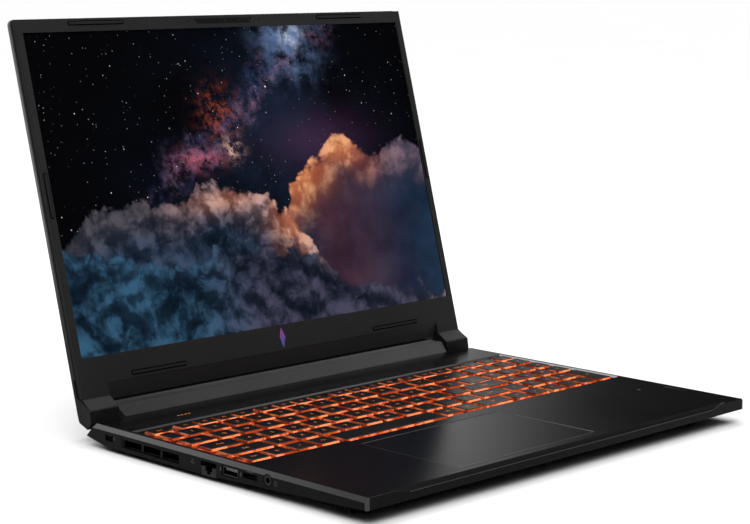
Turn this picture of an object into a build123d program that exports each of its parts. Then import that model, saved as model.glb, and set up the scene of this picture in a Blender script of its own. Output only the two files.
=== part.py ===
"""Laptop computer, 16 inch, open, as the separate pieces that it comes apart into.

Frame: +X to the user's right, +Y away from the user, +Z up, in millimetres. The origin is on
the desk under the centre of the open laptop's bounding box. Depths are given as distances
behind the deck's front edge (`fy` turns one into Y) and heights from the deck's top face,
negative into the base (`dz` turns one into Z). The lid is drawn standing upright over the
middle of the screen's bottom edge (Y is the depth behind the bezel's face, Z is the height
up the screen), then leant back and put in place by `lid`.
"""
from build123d import *
from math import cos, radians, sin
import os

# ---------------------------------------------------------------- base
BASE_D = 248.4            # deck, front edge to rear edge beside the hinges
DECK_HALF = 176.8         # half width of the deck's flat top
SIDE_HALF = 178.5         # half width over the side walls
CHAMFER_DROP = 3.0        # height of the chamfer strip along both sides
BASE_T = 14.0             # deck top to underside
FOOT_H = 2.3              # rubber feet below the underside
WALL = 1.8                # side, front and rear walls
PLATE = 1.6               # deck plate and pan floor
CORNER = 1.8              # facet across each front corner
HEEL_D = 257.0            # rear corner beside the hinges, under the deck
HEEL_DROP = 8.8
HEEL_FOOT_D = 234.1       # where the underside starts to rise to that corner
WALL_LOW_REAR = 13.3      # side walls' lower edge below the deck, rear part
WALL_LOW_FRONT = 7.4      # the same at the front face
WALL_KNEE = 144.5         # where the lower edge starts to rise towards the front
BEVEL_KNEE = 64.5         # where the underside bevel reaches its full width
BEVEL_FRONT = 17.0        # full width of the underside bevel
BEVEL_REAR = 2.0          # its width along the rear sides
LIP_H = 3.0               # pan lip that stands inside the walls
BAR_REAR = 279.0          # rear face of the exhaust bar
BAR_FRONT = 250.6         # foot of its front slope
BAR_SLOPE = 7.5           # depth of that slope
BAR_HALF = 152.0          # half width where it leaves the deck
BAR_TOP_HALF = 154.4      # half width at its top
BAR_H = 6.5
BAR_WALL = 1.2
WING_D = 6.4              # ends of the bar that reach out behind the hinge ears: depth
WING_HALF = 165.5         # half width over them
GRIP_HALF = 144.5         # finger recess along the front edge: flat part
GRIP_END = 13.5           # length of each sloped end
GRIP_DROP = 2.3
GRIP_DEEP = 2.8

# ---------------------------------------------------------------- lid
LEAN = 15.17              # the screen's lean back from upright
ACTIVE_W = 344.7          # lit area, 16 inch at 16:10
ACTIVE_H = 215.4
SCREEN_Y = 269.5          # the lit area's bottom edge
SCREEN_Z = 38.2
LID_T = 7.7
LID_HALF = 178.6          # back cover
LID_TOP = 225.3
LID_CORNER = 4.0
BEZEL_HALF = 177.6
BEZEL_TOP = 224.0
BEZEL_T = 1.0
SPLIT = 4.35              # bezel's face to its joint with the back cover
SKIN = 1.3                # lid walls
EAR_IN = 155.3            # inner face of each hinge ear
CHIN = ((0, -18.0), (5.7, -28.8), (6.0, -28.8), (LID_T, -26.4))
EAR = ((0, -26.5), (-7.0, -34.6), (-6.2, -42.4), (-1.2, -45.7), (7.4, -39.5), (LID_T, -36.0))
CLOSED_GAP = 1.0          # bezel to deck when closed
FRONT_INSET = 1.3         # closed bezel's edge behind the deck's front edge
SHAFT_R = 1.5
SHAFT_PLAY = 0.05

# ---------------------------------------------------------------- keyboard and touchpad
KEY_PITCH = 18.75
TOP_GAP = 5.65            # between neighbouring key tops
SKIRT_GAP = 3.35          # between neighbouring key skirts
KEY_H = 1.6
KEY_PROUD = 0.5           # key tops above the deck
NUMBER_ROW = 188.5        # centre of the number row
FUNCTION_ROW = 204.0
FUNCTION_PITCH = 16.0
FUNCTION_SPACE = 4.0      # space before each group of function keys
FUNCTION_DEPTH = 14.9     # cell depth of the function row
BLOCK_X = -170.9          # left edge of the main key block
BLOCK_W = 274.7
PAD_X = 104.7             # left edge of the number block
PAD_PITCH = 16.65
WELL_HALF = 175.0
WELL_BEVEL = 3.2
WELL_BEVEL_DROP = 1.0
WELL_FRONT = 102.9
WELL_REAR = 215.8
WELL_DROP = 3.0
SPACE_BULGE = 2.3
TOUCH_W = 125.5
TOUCH_D = 80.2
TOUCH_X = -31.15
TOUCH_Y = 50.8
TOUCH_SINK = 0.15
TOUCH_T = 2.2
TOUCH_PLAY = 0.4

# ---------------------------------------------------------------- ports, from the front edge
PORT_Z = -7.0             # centre height of the side ports
LOCK_Y = 233.6
VENT_Y = (163.2, 224.3)
VENT_Z = (-10.9, -5.3)
RJ45_Y = (128.5, 142.9)
RJ45_TOP = -4.6
USB_A_Y = 115.9
USB_A_SIZE = (14.2, 5.4)
CARD_Y = 98.0
CARD_SLOT = (11.8, 2.6)
AUDIO_Y = 82.4
AUDIO_Z = -5.6
AUDIO_R = 1.8
RIGHT_USB_Y = (96.0, 117.0)
HDMI_X = -34.0
USB_C_X = -8.0
DC_X = 22.0
REAR_PORT_Z = -1.0
DC_R = 2.75

# ---------------------------------------------------------------- inside
FLOOR = -(BASE_T - PLATE)
FAN_X = 112.0
FAN_Y = 194.0
FAN_HALF = 33.0
FAN_R = 29.5
FAN_Z = (-11.9, -4.7)
BLADES = 31
BOARD_Z = (-7.2, -6.2)

DECK_Z = BASE_T + FOOT_H
LEAN_R = radians(LEAN)
FRONT_Y = -(SCREEN_Y + LID_TOP * sin(LEAN_R) + LID_T * cos(LEAN_R)) / 2


def fy(distance):
    """Y of a distance behind the front edge."""
    return FRONT_Y + distance


def dz(height):
    """Z of a height above the deck."""
    return DECK_Z + height


def hinge_axis():
    """Distance and height of the axis that swings the lid from its open place to the closed
    one, where the bezel lies CLOSED_GAP above the deck and FRONT_INSET behind its edge."""
    reach = BEZEL_TOP + FRONT_INSET
    s = sin(LEAN_R)
    c = cos(LEAN_R)
    r1 = reach + SCREEN_Y * s + SCREEN_Z * c
    r2 = CLOSED_GAP - SCREEN_Y * c + SCREEN_Z * s
    det = (s + 1) * (s + 1) + c * c
    return (r1 * (s + 1) - r2 * c) / det, ((s + 1) * r2 + c * r1) / det


AXIS_Y, AXIS_Z = hinge_axis()
AXIS_BACK = AXIS_Z - CLOSED_GAP                    # the axis in the lid's own frame
AXIS_UP = BEZEL_TOP + FRONT_INSET - AXIS_Y


# ---------------------------------------------------------------- shape helpers
def block(x0, x1, y0, y1, z0, z1):
    """Box between two corners; the y values are distances, the z values deck heights."""
    size = Box(x1 - x0, y1 - y0, z1 - z0, align=Align.MIN)
    return Pos(x0, fy(y0), dz(z0)) * size


def both(make):
    """What make(side) gives for the left side (-1) and the right side (+1)."""
    return [make(-1), make(1)]


def mirrored(x0, x1, y0, y1, z0, z1, side):
    """The same box on the right (+1) or the left (-1); x0 and x1 are half widths."""
    low, high = sorted((side * x0, side * x1))
    return block(low, high, y0, y1, z0, z1)


def across(points, x0, x1):
    """Prism along X of an outline in (distance, deck height)."""
    wire = Polyline(*[(x0, fy(y), dz(z)) for y, z in points], close=True)
    return extrude(make_face(wire), amount=x1 - x0, dir=(1, 0, 0))


def along(points, y0, y1):
    """Prism along Y of an outline in (X, deck height)."""
    wire = Polyline(*[(x, fy(y0), dz(z)) for x, z in points], close=True)
    return extrude(make_face(wire), amount=y1 - y0, dir=(0, 1, 0))


def upright(points, z0, z1):
    """Prism along Z of an outline in (X, distance)."""
    wire = Polyline(*[(x, fy(y), dz(z0)) for x, y in points], close=True)
    return extrude(make_face(wire), amount=z1 - z0, dir=(0, 0, 1))


def rod_x(radius, x0, x1, y, z):
    """Cylinder along X."""
    turned = Rot(0, 90, 0) * Cylinder(radius, x1 - x0)
    return Pos((x0 + x1) / 2, fy(y), dz(z)) * turned


def rod_y(radius, x, y0, y1, z):
    """Cylinder along Y."""
    turned = Rot(90, 0, 0) * Cylinder(radius, y1 - y0)
    return Pos(x, fy((y0 + y1) / 2), dz(z)) * turned


def rod_z(radius, x, y, z0, z1):
    """Cylinder along Z."""
    return Pos(x, fy(y), dz((z0 + z1) / 2)) * Cylinder(radius, z1 - z0)


def symmetric(points):
    """Outline given by its right half from top to bottom, closed by its mirror image."""
    return list(points) + [(-x, z) for x, z in reversed(points)]


def cut(shape, tools):
    """The shape less every tool in the list."""
    for tool in tools:
        shape = shape - tool
    return shape


def save(name, shape):
    """Write one node, as one solid or as a group of separate solids."""
    solids = shape.solids() if not isinstance(shape, list) else [s for p in shape for s in p.solids()]
    whole = solids[0] if len(solids) == 1 else Compound(children=list(solids))
    whole.label = name
    export_step(whole, f"parts/{name}.step")


# ---------------------------------------------------------------- base shell
def wall_low(y):
    """Deck height of the side walls' lower edge at a distance from the front."""
    rise = (WALL_LOW_REAR - WALL_LOW_FRONT) / WALL_KNEE
    return -WALL_LOW_REAR + rise * max(0, WALL_KNEE - y)


def deck_body(inset, top, below):
    """The deck's solid outline, drawn in by inset at the walls and lowered by top; a hollow
    carries on down through the walls' lower edge by the depth below."""
    side = across([(inset, -top), (BASE_D - inset, -top), (HEEL_D - inset, -HEEL_DROP),
                   (HEEL_FOOT_D, -WALL_LOW_REAR - below), (WALL_KNEE, -WALL_LOW_REAR - below),
                   (inset, -WALL_LOW_FRONT - below)], -SIDE_HALF, SIDE_HALF)
    section = along(symmetric([(DECK_HALF - inset, -top), (SIDE_HALF - inset, -CHAMFER_DROP),
                               (SIDE_HALF - inset, -40)]), -1, BAR_REAR)
    return side & section


def corner_facets():
    """Wedges that take the two front corners off at 45 degrees."""
    reach = SIDE_HALF + 1
    size = CORNER + 1
    return both(lambda side: upright([(side * reach, -1), (side * (reach - size), -1),
                                      (side * reach, size - 1)], -20, 1))


def grip_recess():
    """Wedge taken off the deck's front edge, with a sloped end on each side."""
    end = GRIP_HALF + GRIP_END
    wedge = across([(-1, 1), (GRIP_DEEP, 1), (GRIP_DEEP, 0), (0, -GRIP_DROP),
                    (-1, -GRIP_DROP)], -end, end)
    ends = along(symmetric([(end, 1), (end, 0), (GRIP_HALF, -GRIP_DROP - 0.01)]), -2, 6)
    return wedge & ends


def well_outline(margin, bulge):
    """Corners of the keyboard well in (X, distance), drawn in by margin, with a step that
    makes room for the deeper space bar."""
    half = WELL_HALF - margin
    x0 = BLOCK_X + 4 * KEY_PITCH
    x1 = x0 + 5 * KEY_PITCH
    front = WELL_FRONT + margin * 0.35
    return [(-half, front), (x0, front), (x0 + bulge, front - bulge), (x1 - bulge, front - bulge),
            (x1, front), (half, front), (half, WELL_REAR - margin * 0.5),
            (-half, WELL_REAR - margin * 0.5)]


def keyboard_well():
    """The opening for the keys: a bevelled mouth and straight walls below it."""
    def ring(margin, height):
        points = well_outline(margin, SPACE_BULGE)
        return make_face(Polyline(*[(x, fy(y), dz(height)) for x, y in points], close=True))
    mouth = loft([ring(WELL_BEVEL, -WELL_BEVEL_DROP), ring(0, 0)], ruled=True)
    lead = upright(well_outline(0, SPACE_BULGE), 0, 1)
    return mouth + lead + upright(well_outline(WELL_BEVEL, SPACE_BULGE), -WELL_DROP - 4, -WELL_BEVEL_DROP)


def vent_windows(side):
    """The recess in the side wall with three openings to the fins behind it."""
    y0, y1 = VENT_Y
    z0, z1 = VENT_Z
    width = (y1 - y0 - 7 - 2 * 2.2) / 3
    recess = upright([(side * (SIDE_HALF + 1), y0), (side * (SIDE_HALF - 1.0), y0 + 1),
                      (side * (SIDE_HALF - 1.0), y1 - 7), (side * (SIDE_HALF + 1), y1)], z0, z1)
    holes = [mirrored(SIDE_HALF - 4, SIDE_HALF, y0 + 1 + n * (width + 2.2),
                      y0 + 1 + n * (width + 2.2) + width, z0 + 0.4, z1 - 0.4, side)
             for n in range(3)]
    return [recess] + holes


def side_port_holes():
    """Openings in both side walls for the ports, the lock slot and the drop jaw."""
    outer = SIDE_HALF + 1
    inner = SIDE_HALF - WALL - 1
    width, height = USB_A_SIZE
    holes = [mirrored(inner, outer, LOCK_Y - 3.6, LOCK_Y + 3.6, PORT_Z - 1.5, PORT_Z + 1.5, -1),
             mirrored(inner, outer, RJ45_Y[0], RJ45_Y[1], -20, RJ45_TOP, -1),
             mirrored(inner, outer, USB_A_Y - width / 2, USB_A_Y + width / 2,
                      PORT_Z - height / 2, PORT_Z + height / 2, -1),
             mirrored(inner, outer, CARD_Y - CARD_SLOT[0] / 2, CARD_Y + CARD_SLOT[0] / 2,
                      -6.3 - CARD_SLOT[1] / 2, -6.3 + CARD_SLOT[1] / 2, -1),
             rod_x(3.15, -outer, -inner, AUDIO_Y, AUDIO_Z)]
    for y in RIGHT_USB_Y:
        holes.append(mirrored(inner, outer, y - width / 2, y + width / 2,
                              PORT_Z - height / 2, PORT_Z + height / 2, 1))
    return holes


def touch_opening(margin):
    """The touchpad's outline grown by a margin, as a block through the deck."""
    half = TOUCH_W / 2 + margin
    deep = TOUCH_D / 2 + margin
    return block(TOUCH_X - half, TOUCH_X + half, TOUCH_Y - deep, TOUCH_Y + deep, -4, 1)


def top_deck():
    """Palm rest, keyboard surround and side walls in one shell."""
    shell = deck_body(0, 0, 0) - deck_body(WALL, PLATE, 20)
    rim = block(-SIDE_HALF + WALL + 0.3, SIDE_HALF - WALL - 0.3, WELL_FRONT - 6, WELL_REAR + 3,
                -WELL_DROP, -PLATE)
    shell = shell + rim
    front_fill = block(-GRIP_HALF - GRIP_END, GRIP_HALF + GRIP_END, WALL, WALL + 2.6, -4.4, -PLATE)
    shell = shell + front_fill
    bridge = block(-BAR_HALF + 1, BAR_HALF - 1, BASE_D - WALL - 1, BAR_FRONT, -PLATE, 0)
    rear_gap = across([(BASE_D - WALL - 2, -PLATE), (HEEL_D + 2, -PLATE), (HEEL_D + 2, -20),
                       (BASE_D - WALL - 2, -20)], -BAR_HALF + 1.5, BAR_HALF - 1.5)
    shell = cut(shell, [rear_gap]) + bridge
    shell = cut(shell, corner_facets() + [grip_recess(), keyboard_well(), touch_opening(TOUCH_PLAY)])
    shell = cut(shell, vent_windows(-1) + vent_windows(1) + side_port_holes())
    return shell


def pan_section(y, low, bevel):
    """One cross-section of the pan below the walls, as a face at a distance from the front."""
    points = symmetric([(SIDE_HALF, low), (SIDE_HALF - bevel, -BASE_T)])
    return make_face(Polyline(*[(x, fy(y), dz(z)) for x, z in points], close=True))


def pan_cavity_section(y, low, bevel):
    """The hollow above the pan's floor at the same distance."""
    edge = SIDE_HALF - WALL - 1.8
    points = symmetric([(edge, low + LIP_H + 1), (edge, low + PLATE),
                        (min(edge - 0.5, SIDE_HALF - bevel - 2.2), FLOOR)])
    return make_face(Polyline(*[(x, fy(y), dz(z)) for x, z in points], close=True))


def front_bevel(raise_by):
    """Everything under the underside's front bevel plane, raised by a thickness."""
    slope = (BASE_T - WALL_LOW_FRONT) / BEVEL_FRONT
    far = 40
    level = -WALL_LOW_FRONT + raise_by
    return across([(-5, level + 5 * slope), (far, level - far * slope), (far, -60), (-5, -60)],
                  -SIDE_HALF - 1, SIDE_HALF + 1)


def pan_floor_slots():
    """Air intakes under the fans and sound slots under the front corners."""
    slots = []
    for side in (-1, 1):
        for row in range(-8, 9):
            y = FAN_Y + row * 3.4
            half = (24.0 ** 2 - (row * 2.7) ** 2) ** 0.5
            slots.append(mirrored(FAN_X - half, FAN_X + half, y - 0.8, y + 0.8,
                                  -BASE_T - 1, FLOOR + 1, side))
        for n in range(9):
            y = 22 + n * 2.6
            slots.append(mirrored(153, 166, y - 0.65, y + 0.65, -BASE_T - 1, FLOOR + 3, side))
    return slots


SCREWS = [(side * x, y) for side in (-1, 1)
          for x, y in ((150, 226), (156, 150), (152, 72), (110, 24), (60, 118))]
SCREWS += [(0, 24), (0, 240)]


def port_clearances():
    """Notches in the pan's lip round the side ports and the network socket's jaw."""
    sockets = [(-1, USB_A_Y, 7), (-1, CARD_Y, 6.6), (-1, AUDIO_Y, 3.2)]
    sockets += [(1, y, 7) for y in RIGHT_USB_Y]
    notches = [mirrored(160, SIDE_HALF - WALL, y - half - 0.3, y + half + 0.3, -9.7, 0, side)
               for side, y, half in sockets]
    notches.append(mirrored(SIDE_HALF - 16.5, SIDE_HALF + 1, RJ45_Y[0] - 0.2, RJ45_Y[1] + 0.2, -20, 0, -1))
    return notches


def pan_rear_middle():
    """The pan's floor under the exhaust bar, turned up at its rear edge."""
    front = HEEL_FOOT_D - 2
    return across([(front, -BASE_T), (BAR_REAR - 6.5, -BASE_T), (BAR_REAR, -8.2), (BAR_REAR, -6.4),
                   (BAR_REAR - 1.6, -6.4), (BAR_REAR - 1.6, -7.4), (BAR_REAR - 7.1, FLOOR),
                   (front, FLOOR)], -BAR_HALF, BAR_HALF)


def bottom_cover():
    """The removable pan: floor, bevelled edges, rear heel and a lip inside the walls."""
    stations = [(0, -WALL_LOW_FRONT, BEVEL_FRONT),
                (BEVEL_KNEE, wall_low(BEVEL_KNEE), BEVEL_FRONT - 1),
                (WALL_KNEE, -WALL_LOW_REAR, BEVEL_REAR),
                (HEEL_FOOT_D, -WALL_LOW_REAR, BEVEL_REAR)]
    body = loft([pan_section(*s) for s in stations], ruled=True)
    half = SIDE_HALF - WALL - 0.2
    lip = across([(WALL + 0.2, wall_low(0)), (WALL_KNEE, -WALL_LOW_REAR),
                  (HEEL_FOOT_D, -WALL_LOW_REAR), (HEEL_FOOT_D, -WALL_LOW_REAR + LIP_H),
                  (WALL_KNEE, -WALL_LOW_REAR + LIP_H), (WALL + 0.2, wall_low(0) + LIP_H)], -half, half)
    front = 2 * WALL + 0.4
    sections = [pan_cavity_section(max(y, front), low, bevel) for y, low, bevel in stations[:3]]
    sections.append(pan_cavity_section(HEEL_FOOT_D + 1, -WALL_LOW_REAR, BEVEL_REAR))
    hollow = loft(sections, ruled=True) - front_bevel(PLATE)
    body = (body - front_bevel(0) + lip) - hollow
    body = cut(body, corner_facets()) + pan_rear_middle()
    for side in (-1, 1):
        skin = [(HEEL_FOOT_D, -BASE_T), (HEEL_D + 0.5, -HEEL_DROP - 0.6), (HEEL_D, -HEEL_DROP),
                (HEEL_FOOT_D, -WALL_LOW_REAR)]
        x0, x1 = sorted((side * BAR_HALF, side * SIDE_HALF))
        body = body + across(skin, x0, x1)
        inner = [(HEEL_FOOT_D - 1, -BASE_T + 0.2), (HEEL_D - 2.6, -HEEL_DROP - 0.3),
                 (HEEL_D - 3.8, -HEEL_DROP + 1.2), (HEEL_FOOT_D - 1, FLOOR + 0.2)]
        x0, x1 = sorted((side * (BAR_HALF - 1), side * half))
        body = body + across(inner, x0, x1)
    body = cut(body, pan_floor_slots() + port_clearances())
    for x, y in SCREWS:
        head = rod_z(2.8, x, y, -BASE_T - 1, -BASE_T + 0.9)
        body = cut(body, [head, rod_z(1.15, x, y, -BASE_T, FLOOR + 1)])
    return body


def bar_ends(low):
    """Everything between the exhaust bar's two slanted ends."""
    ends = [(BAR_TOP_HALF, BAR_H), (BAR_HALF, 0), (BAR_HALF, low)]
    return along(symmetric(ends), BAR_FRONT - 4, BAR_REAR + 1)


def bar_wing(side):
    """Solid end of the bar behind a hinge ear."""
    front = BAR_REAR - WING_D
    outline = [(front, -6.3), (front, BAR_H - 0.4), (front + 0.4, BAR_H), (BAR_REAR - 0.4, BAR_H),
               (BAR_REAR, BAR_H - 0.4), (BAR_REAR, -6.3)]
    return across(outline, *sorted((side * (BAR_HALF - 1), side * WING_HALF)))


def exhaust_bar():
    """Raised bar between the hinges: grilles, rear ports and the hinge mounts are in it."""
    outer = across([(BAR_FRONT, 0), (BAR_FRONT + BAR_SLOPE, BAR_H), (BAR_REAR - 0.4, BAR_H),
                    (BAR_REAR, BAR_H - 0.4), (BAR_REAR, -6.3), (BAR_REAR - WALL, -6.3),
                    (BAR_REAR - 7.3, FLOOR + 0.1), (HEEL_D + 1.2, FLOOR + 0.1),
                    (HEEL_D + 1.2, -HEEL_DROP), (BAR_FRONT, -PLATE)],
                   -BAR_TOP_HALF - 1, BAR_TOP_HALF + 1)
    roof = BAR_H - BAR_WALL
    inner = across([(BAR_FRONT + 1.6, -1.0), (BAR_FRONT + BAR_SLOPE + 0.6, roof),
                    (BAR_REAR - WALL, roof), (BAR_REAR - WALL, -20), (BAR_FRONT - 3, -20),
                    (BAR_FRONT - 3, -1.0)], -BAR_HALF + 1.4, BAR_HALF - 1.4)
    bar = (outer & bar_ends(FLOOR)) - inner + both(bar_wing)
    slots = []
    for side in (-1, 1):
        for n in range(12):
            x = 62 + n * 6.2
            slots.append(mirrored(x, x + 4.6, BAR_REAR - 4, BAR_REAR + 1, -4.2, 4.0, side))
    y0, y1 = BAR_REAR - 3, BAR_REAR + 1
    ports = [block(x - half_w, x + half_w, y0, y1, REAR_PORT_Z - half_h, REAR_PORT_Z + half_h)
             for x, half_w, half_h in ((HDMI_X, 7.7, 2.9), (USB_C_X, 4.8, 1.9))]
    ports.append(rod_y(3.9, DC_X, y0, y1, REAR_PORT_Z))
    shafts = both(lambda side: rod_x(SHAFT_R + 0.6, *sorted((side * 148, side * 156)), AXIS_Y, AXIS_Z))
    return cut(bar, slots + ports + shafts)


def rubber_feet():
    """Long rear foot and two front feet; each stands on the desk."""
    def bar(x0, x1, y0, y1):
        return fillet(block(x0, x1, y0, y1, -DECK_Z, -BASE_T).edges().filter_by(Axis.Z), 4)
    return [bar(-120, 120, 240, 250), bar(-140, -90, 30, 39), bar(90, 140, 30, 39)]


def bottom_screws():
    """Countersunk screws of the pan."""
    return [rod_z(2.5, x, y, -BASE_T + 0.1, -BASE_T + 0.9)
            + rod_z(1.0, x, y, -BASE_T + 0.8, FLOOR + 2.4) for x, y in SCREWS]


# ---------------------------------------------------------------- keyboard
def keycap(x, y, width, depth, deeper=0):
    """One cap: square-edged skirt lofted to a smaller top. x and y are its cell's centre."""
    def ring(gap, radius, height):
        outline = RectangleRounded(width - gap, depth - gap + deeper, radius)
        return Pos(x, fy(y - deeper / 2), dz(height)) * outline
    return loft([ring(SKIRT_GAP, 1.0, KEY_PROUD - KEY_H), ring(TOP_GAP, 1.2, KEY_PROUD)], ruled=True)


def row_y(row):
    """Centre distance of key row 1 (numbers) to 5 (space bar)."""
    return NUMBER_ROW - (row - 1) * KEY_PITCH


def run_of_keys(row, first_width, count, last_width=0):
    """Cells of one main-block row as (centre, width): a first key, count square keys and a
    last key that fills the block."""
    cells = [(BLOCK_X + first_width / 2, first_width)]
    cells += [(BLOCK_X + first_width + (n + 0.5) * KEY_PITCH, KEY_PITCH) for n in range(count)]
    start = BLOCK_X + first_width + count * KEY_PITCH
    end = BLOCK_X + BLOCK_W - last_width
    cells.append(((start + end) / 2, end - start))
    return [(x, row_y(row), width, KEY_PITCH) for x, width in cells]


def function_cells():
    """Escape key and the grouped half-height keys over the whole keyboard."""
    cells = [(BLOCK_X + KEY_PITCH / 2, KEY_PITCH)]
    for n in range(15):
        left = BLOCK_X + KEY_PITCH + (n // 4 + 1) * FUNCTION_SPACE + n * FUNCTION_PITCH
        cells.append((left + FUNCTION_PITCH / 2, FUNCTION_PITCH + 1.0))
    cells += [(PAD_X + (n + 0.5) * PAD_PITCH, PAD_PITCH) for n in range(4)]
    return [(x, FUNCTION_ROW, width, FUNCTION_DEPTH) for x, width in cells]


def pad_cells():
    """Number block: four columns, with a two-row key at the bottom of the last one."""
    cells = [(PAD_X + (c + 0.5) * PAD_PITCH, row_y(r), PAD_PITCH, KEY_PITCH)
             for r in (1, 2, 3, 4) for c in range(4) if not (r == 4 and c == 3)]
    cells += [(PAD_X + (c + 0.5) * PAD_PITCH, row_y(5), PAD_PITCH, KEY_PITCH) for c in (1, 2)]
    cells.append((PAD_X + 3.5 * PAD_PITCH, (row_y(4) + row_y(5)) / 2, PAD_PITCH, 2 * KEY_PITCH))
    return cells


def keys():
    """All caps, by node."""
    number = run_of_keys(1, 0.744 * KEY_PITCH, 12)
    upper = run_of_keys(2, 1.3 * KEY_PITCH, 12)
    home = run_of_keys(3, 1.545 * KEY_PITCH, 11)
    lower = run_of_keys(4, 2.0 * KEY_PITCH, 10, KEY_PITCH)
    bottom_y = row_y(5)
    function = function_cells()
    right = BLOCK_X + BLOCK_W
    modifiers = [(BLOCK_X + (n + 0.5) * KEY_PITCH, bottom_y, KEY_PITCH, KEY_PITCH)
                 for n in (0, 1, 2, 3, 9, 10)]
    control_left = BLOCK_X + 11 * KEY_PITCH
    control_right = right - 2 * KEY_PITCH
    control_width = control_right - control_left
    modifiers.append(((control_left + control_right) / 2, bottom_y, control_width, KEY_PITCH))
    arrows = [(right - 0.5 * KEY_PITCH, row_y(4), KEY_PITCH, KEY_PITCH),
              (right - 1.5 * KEY_PITCH, bottom_y, KEY_PITCH, KEY_PITCH),
              (right - 0.5 * KEY_PITCH, bottom_y, KEY_PITCH, KEY_PITCH),
              (PAD_X + 0.5 * PAD_PITCH, bottom_y, PAD_PITCH, KEY_PITCH)]
    x, y, width, depth = upper[-1]
    backslash = keycap(x, y - 1.2, width, depth + 2.4)
    space = keycap(BLOCK_X + 6.5 * KEY_PITCH, bottom_y, 5 * KEY_PITCH, KEY_PITCH, 2.4)
    enter = home[-1]
    return {
        "function_keys": [keycap(*cell) for cell in function[:-1]],
        "power_key": [keycap(*function[-1])],
        "number_row_keys": [keycap(*cell) for cell in number[:-1]],
        "backspace_key": [keycap(*number[-1])],
        "upper_row_keys": [keycap(*cell) for cell in upper[:-1]] + [backslash],
        "home_row_keys": [keycap(*cell) for cell in home[:-1]],
        "enter_key": [keycap(*enter)],
        "left_shift_key": [keycap(*lower[0])],
        "lower_row_keys": [keycap(*cell) for cell in lower[1:-1]],
        "right_shift_key": [keycap(*lower[-1])],
        "bottom_row_keys": [keycap(*cell) for cell in modifiers],
        "space_bar": [space],
        "arrow_keys": [keycap(*cell) for cell in arrows],
        "number_pad_keys": [keycap(*cell) for cell in pad_cells()],
    }


def keyboard_plate():
    """Steel plate that carries the key mechanisms."""
    return block(-WELL_HALF + 1.5, WELL_HALF - 1.5, WELL_FRONT - SPACE_BULGE - 1, WELL_REAR + 1,
                 -WELL_DROP - 0.55, -WELL_DROP - 0.05)


def backlight_sheet():
    """Light guide under the plate."""
    return block(-WELL_HALF + 3, WELL_HALF - 3, WELL_FRONT - SPACE_BULGE, WELL_REAR,
                 -WELL_DROP - 0.9, -WELL_DROP - 0.6)


def touchpad():
    """Click pad: glass-faced plate with a stiffening rib."""
    half = TOUCH_W / 2
    deep = TOUCH_D / 2
    under = -TOUCH_SINK - TOUCH_T
    plate = block(TOUCH_X - half, TOUCH_X + half, TOUCH_Y - deep, TOUCH_Y + deep, under, -TOUCH_SINK)
    plate = fillet(plate.edges().filter_by(Axis.Z), 1.2)
    rib = block(TOUCH_X - half + 8, TOUCH_X + half - 8, TOUCH_Y - 3, TOUCH_Y + 3, under - 0.8, under)
    return plate + rib


# ---------------------------------------------------------------- ports
def usb_a_port(side, y):
    """Metal shell with its tongue, opening outwards on one side."""
    half_w = USB_A_SIZE[0] / 2 - 0.25
    half_h = USB_A_SIZE[1] / 2 - 0.2
    shell = mirrored(163, SIDE_HALF - 0.4, y - half_w, y + half_w, PORT_Z - half_h, PORT_Z + half_h, side)
    half_w -= 0.4
    half_h -= 0.35
    mouth = mirrored(164, SIDE_HALF + 1, y - half_w, y + half_w, PORT_Z - half_h, PORT_Z + half_h, side)
    tongue = mirrored(163.5, SIDE_HALF - 1.6, y - 5.6, y + 5.6, PORT_Z + 0.2, PORT_Z + 1.9, side)
    return shell - mouth + tongue


def rj45_jack():
    """Network socket housing with contacts along its roof, open outwards and downwards."""
    y0, y1 = RJ45_Y
    body = mirrored(160, SIDE_HALF - WALL - 0.1, y0 + 0.3, y1 - 0.3, -11.6, RJ45_TOP + 0.5, -1)
    hollow = mirrored(163, SIDE_HALF, y0 + 1.1, y1 - 1.1, -13, RJ45_TOP - 0.1, -1)
    contacts = [mirrored(162, 174, y0 + 3.15 + n * 1.1, y0 + 3.55 + n * 1.1, RJ45_TOP - 0.8, RJ45_TOP, -1)
                for n in range(8)]
    return body - hollow + contacts


JAW_X = 165.5
JAW_Z = -12.3


def rj45_jaw():
    """Drop jaw that makes room for the plug: notched front, two arms and a pivot rod."""
    y0, y1 = RJ45_Y[0] + 0.3, RJ45_Y[1] - 0.3
    middle = (y0 + y1) / 2
    front = mirrored(SIDE_HALF - WALL + 0.2, SIDE_HALF - 0.1, y0, y1, -13.2, -7.7, -1)
    front = cut(front, [mirrored(170, 180, middle - 3.2, middle + 3.2, -10.4, -7, -1),
                        mirrored(170, 180, middle - 1.75, middle + 1.75, -12.2, -7, -1)])
    floor = mirrored(JAW_X - 1, SIDE_HALF - 0.5, y0, y1, -13.6, -12.9, -1)
    rod = rod_y(0.8, -JAW_X, y0, y1, JAW_Z - 0.4)
    return front + floor + rod


def card_reader():
    """Flat card slot."""
    body = mirrored(161, SIDE_HALF - WALL - 0.1, CARD_Y - 6.6, CARD_Y + 6.6, -8.4, -4.3, -1)
    return body - mirrored(163, SIDE_HALF, CARD_Y - 5.6, CARD_Y + 5.6, -6.9, -5.7, -1)


def audio_jack():
    """Round headset socket: a collar in the wall and a barrel behind it."""
    body = rod_x(3.05, -SIDE_HALF + 0.1, -SIDE_HALF + WALL + 1, AUDIO_Y, AUDIO_Z)
    body = body + mirrored(163, SIDE_HALF - WALL - 0.1, AUDIO_Y - 3.2, AUDIO_Y + 3.2, -8.6, -4.2, -1)
    return body - rod_x(AUDIO_R, -SIDE_HALF - 1, -SIDE_HALF + 14, AUDIO_Y, AUDIO_Z)


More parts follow.
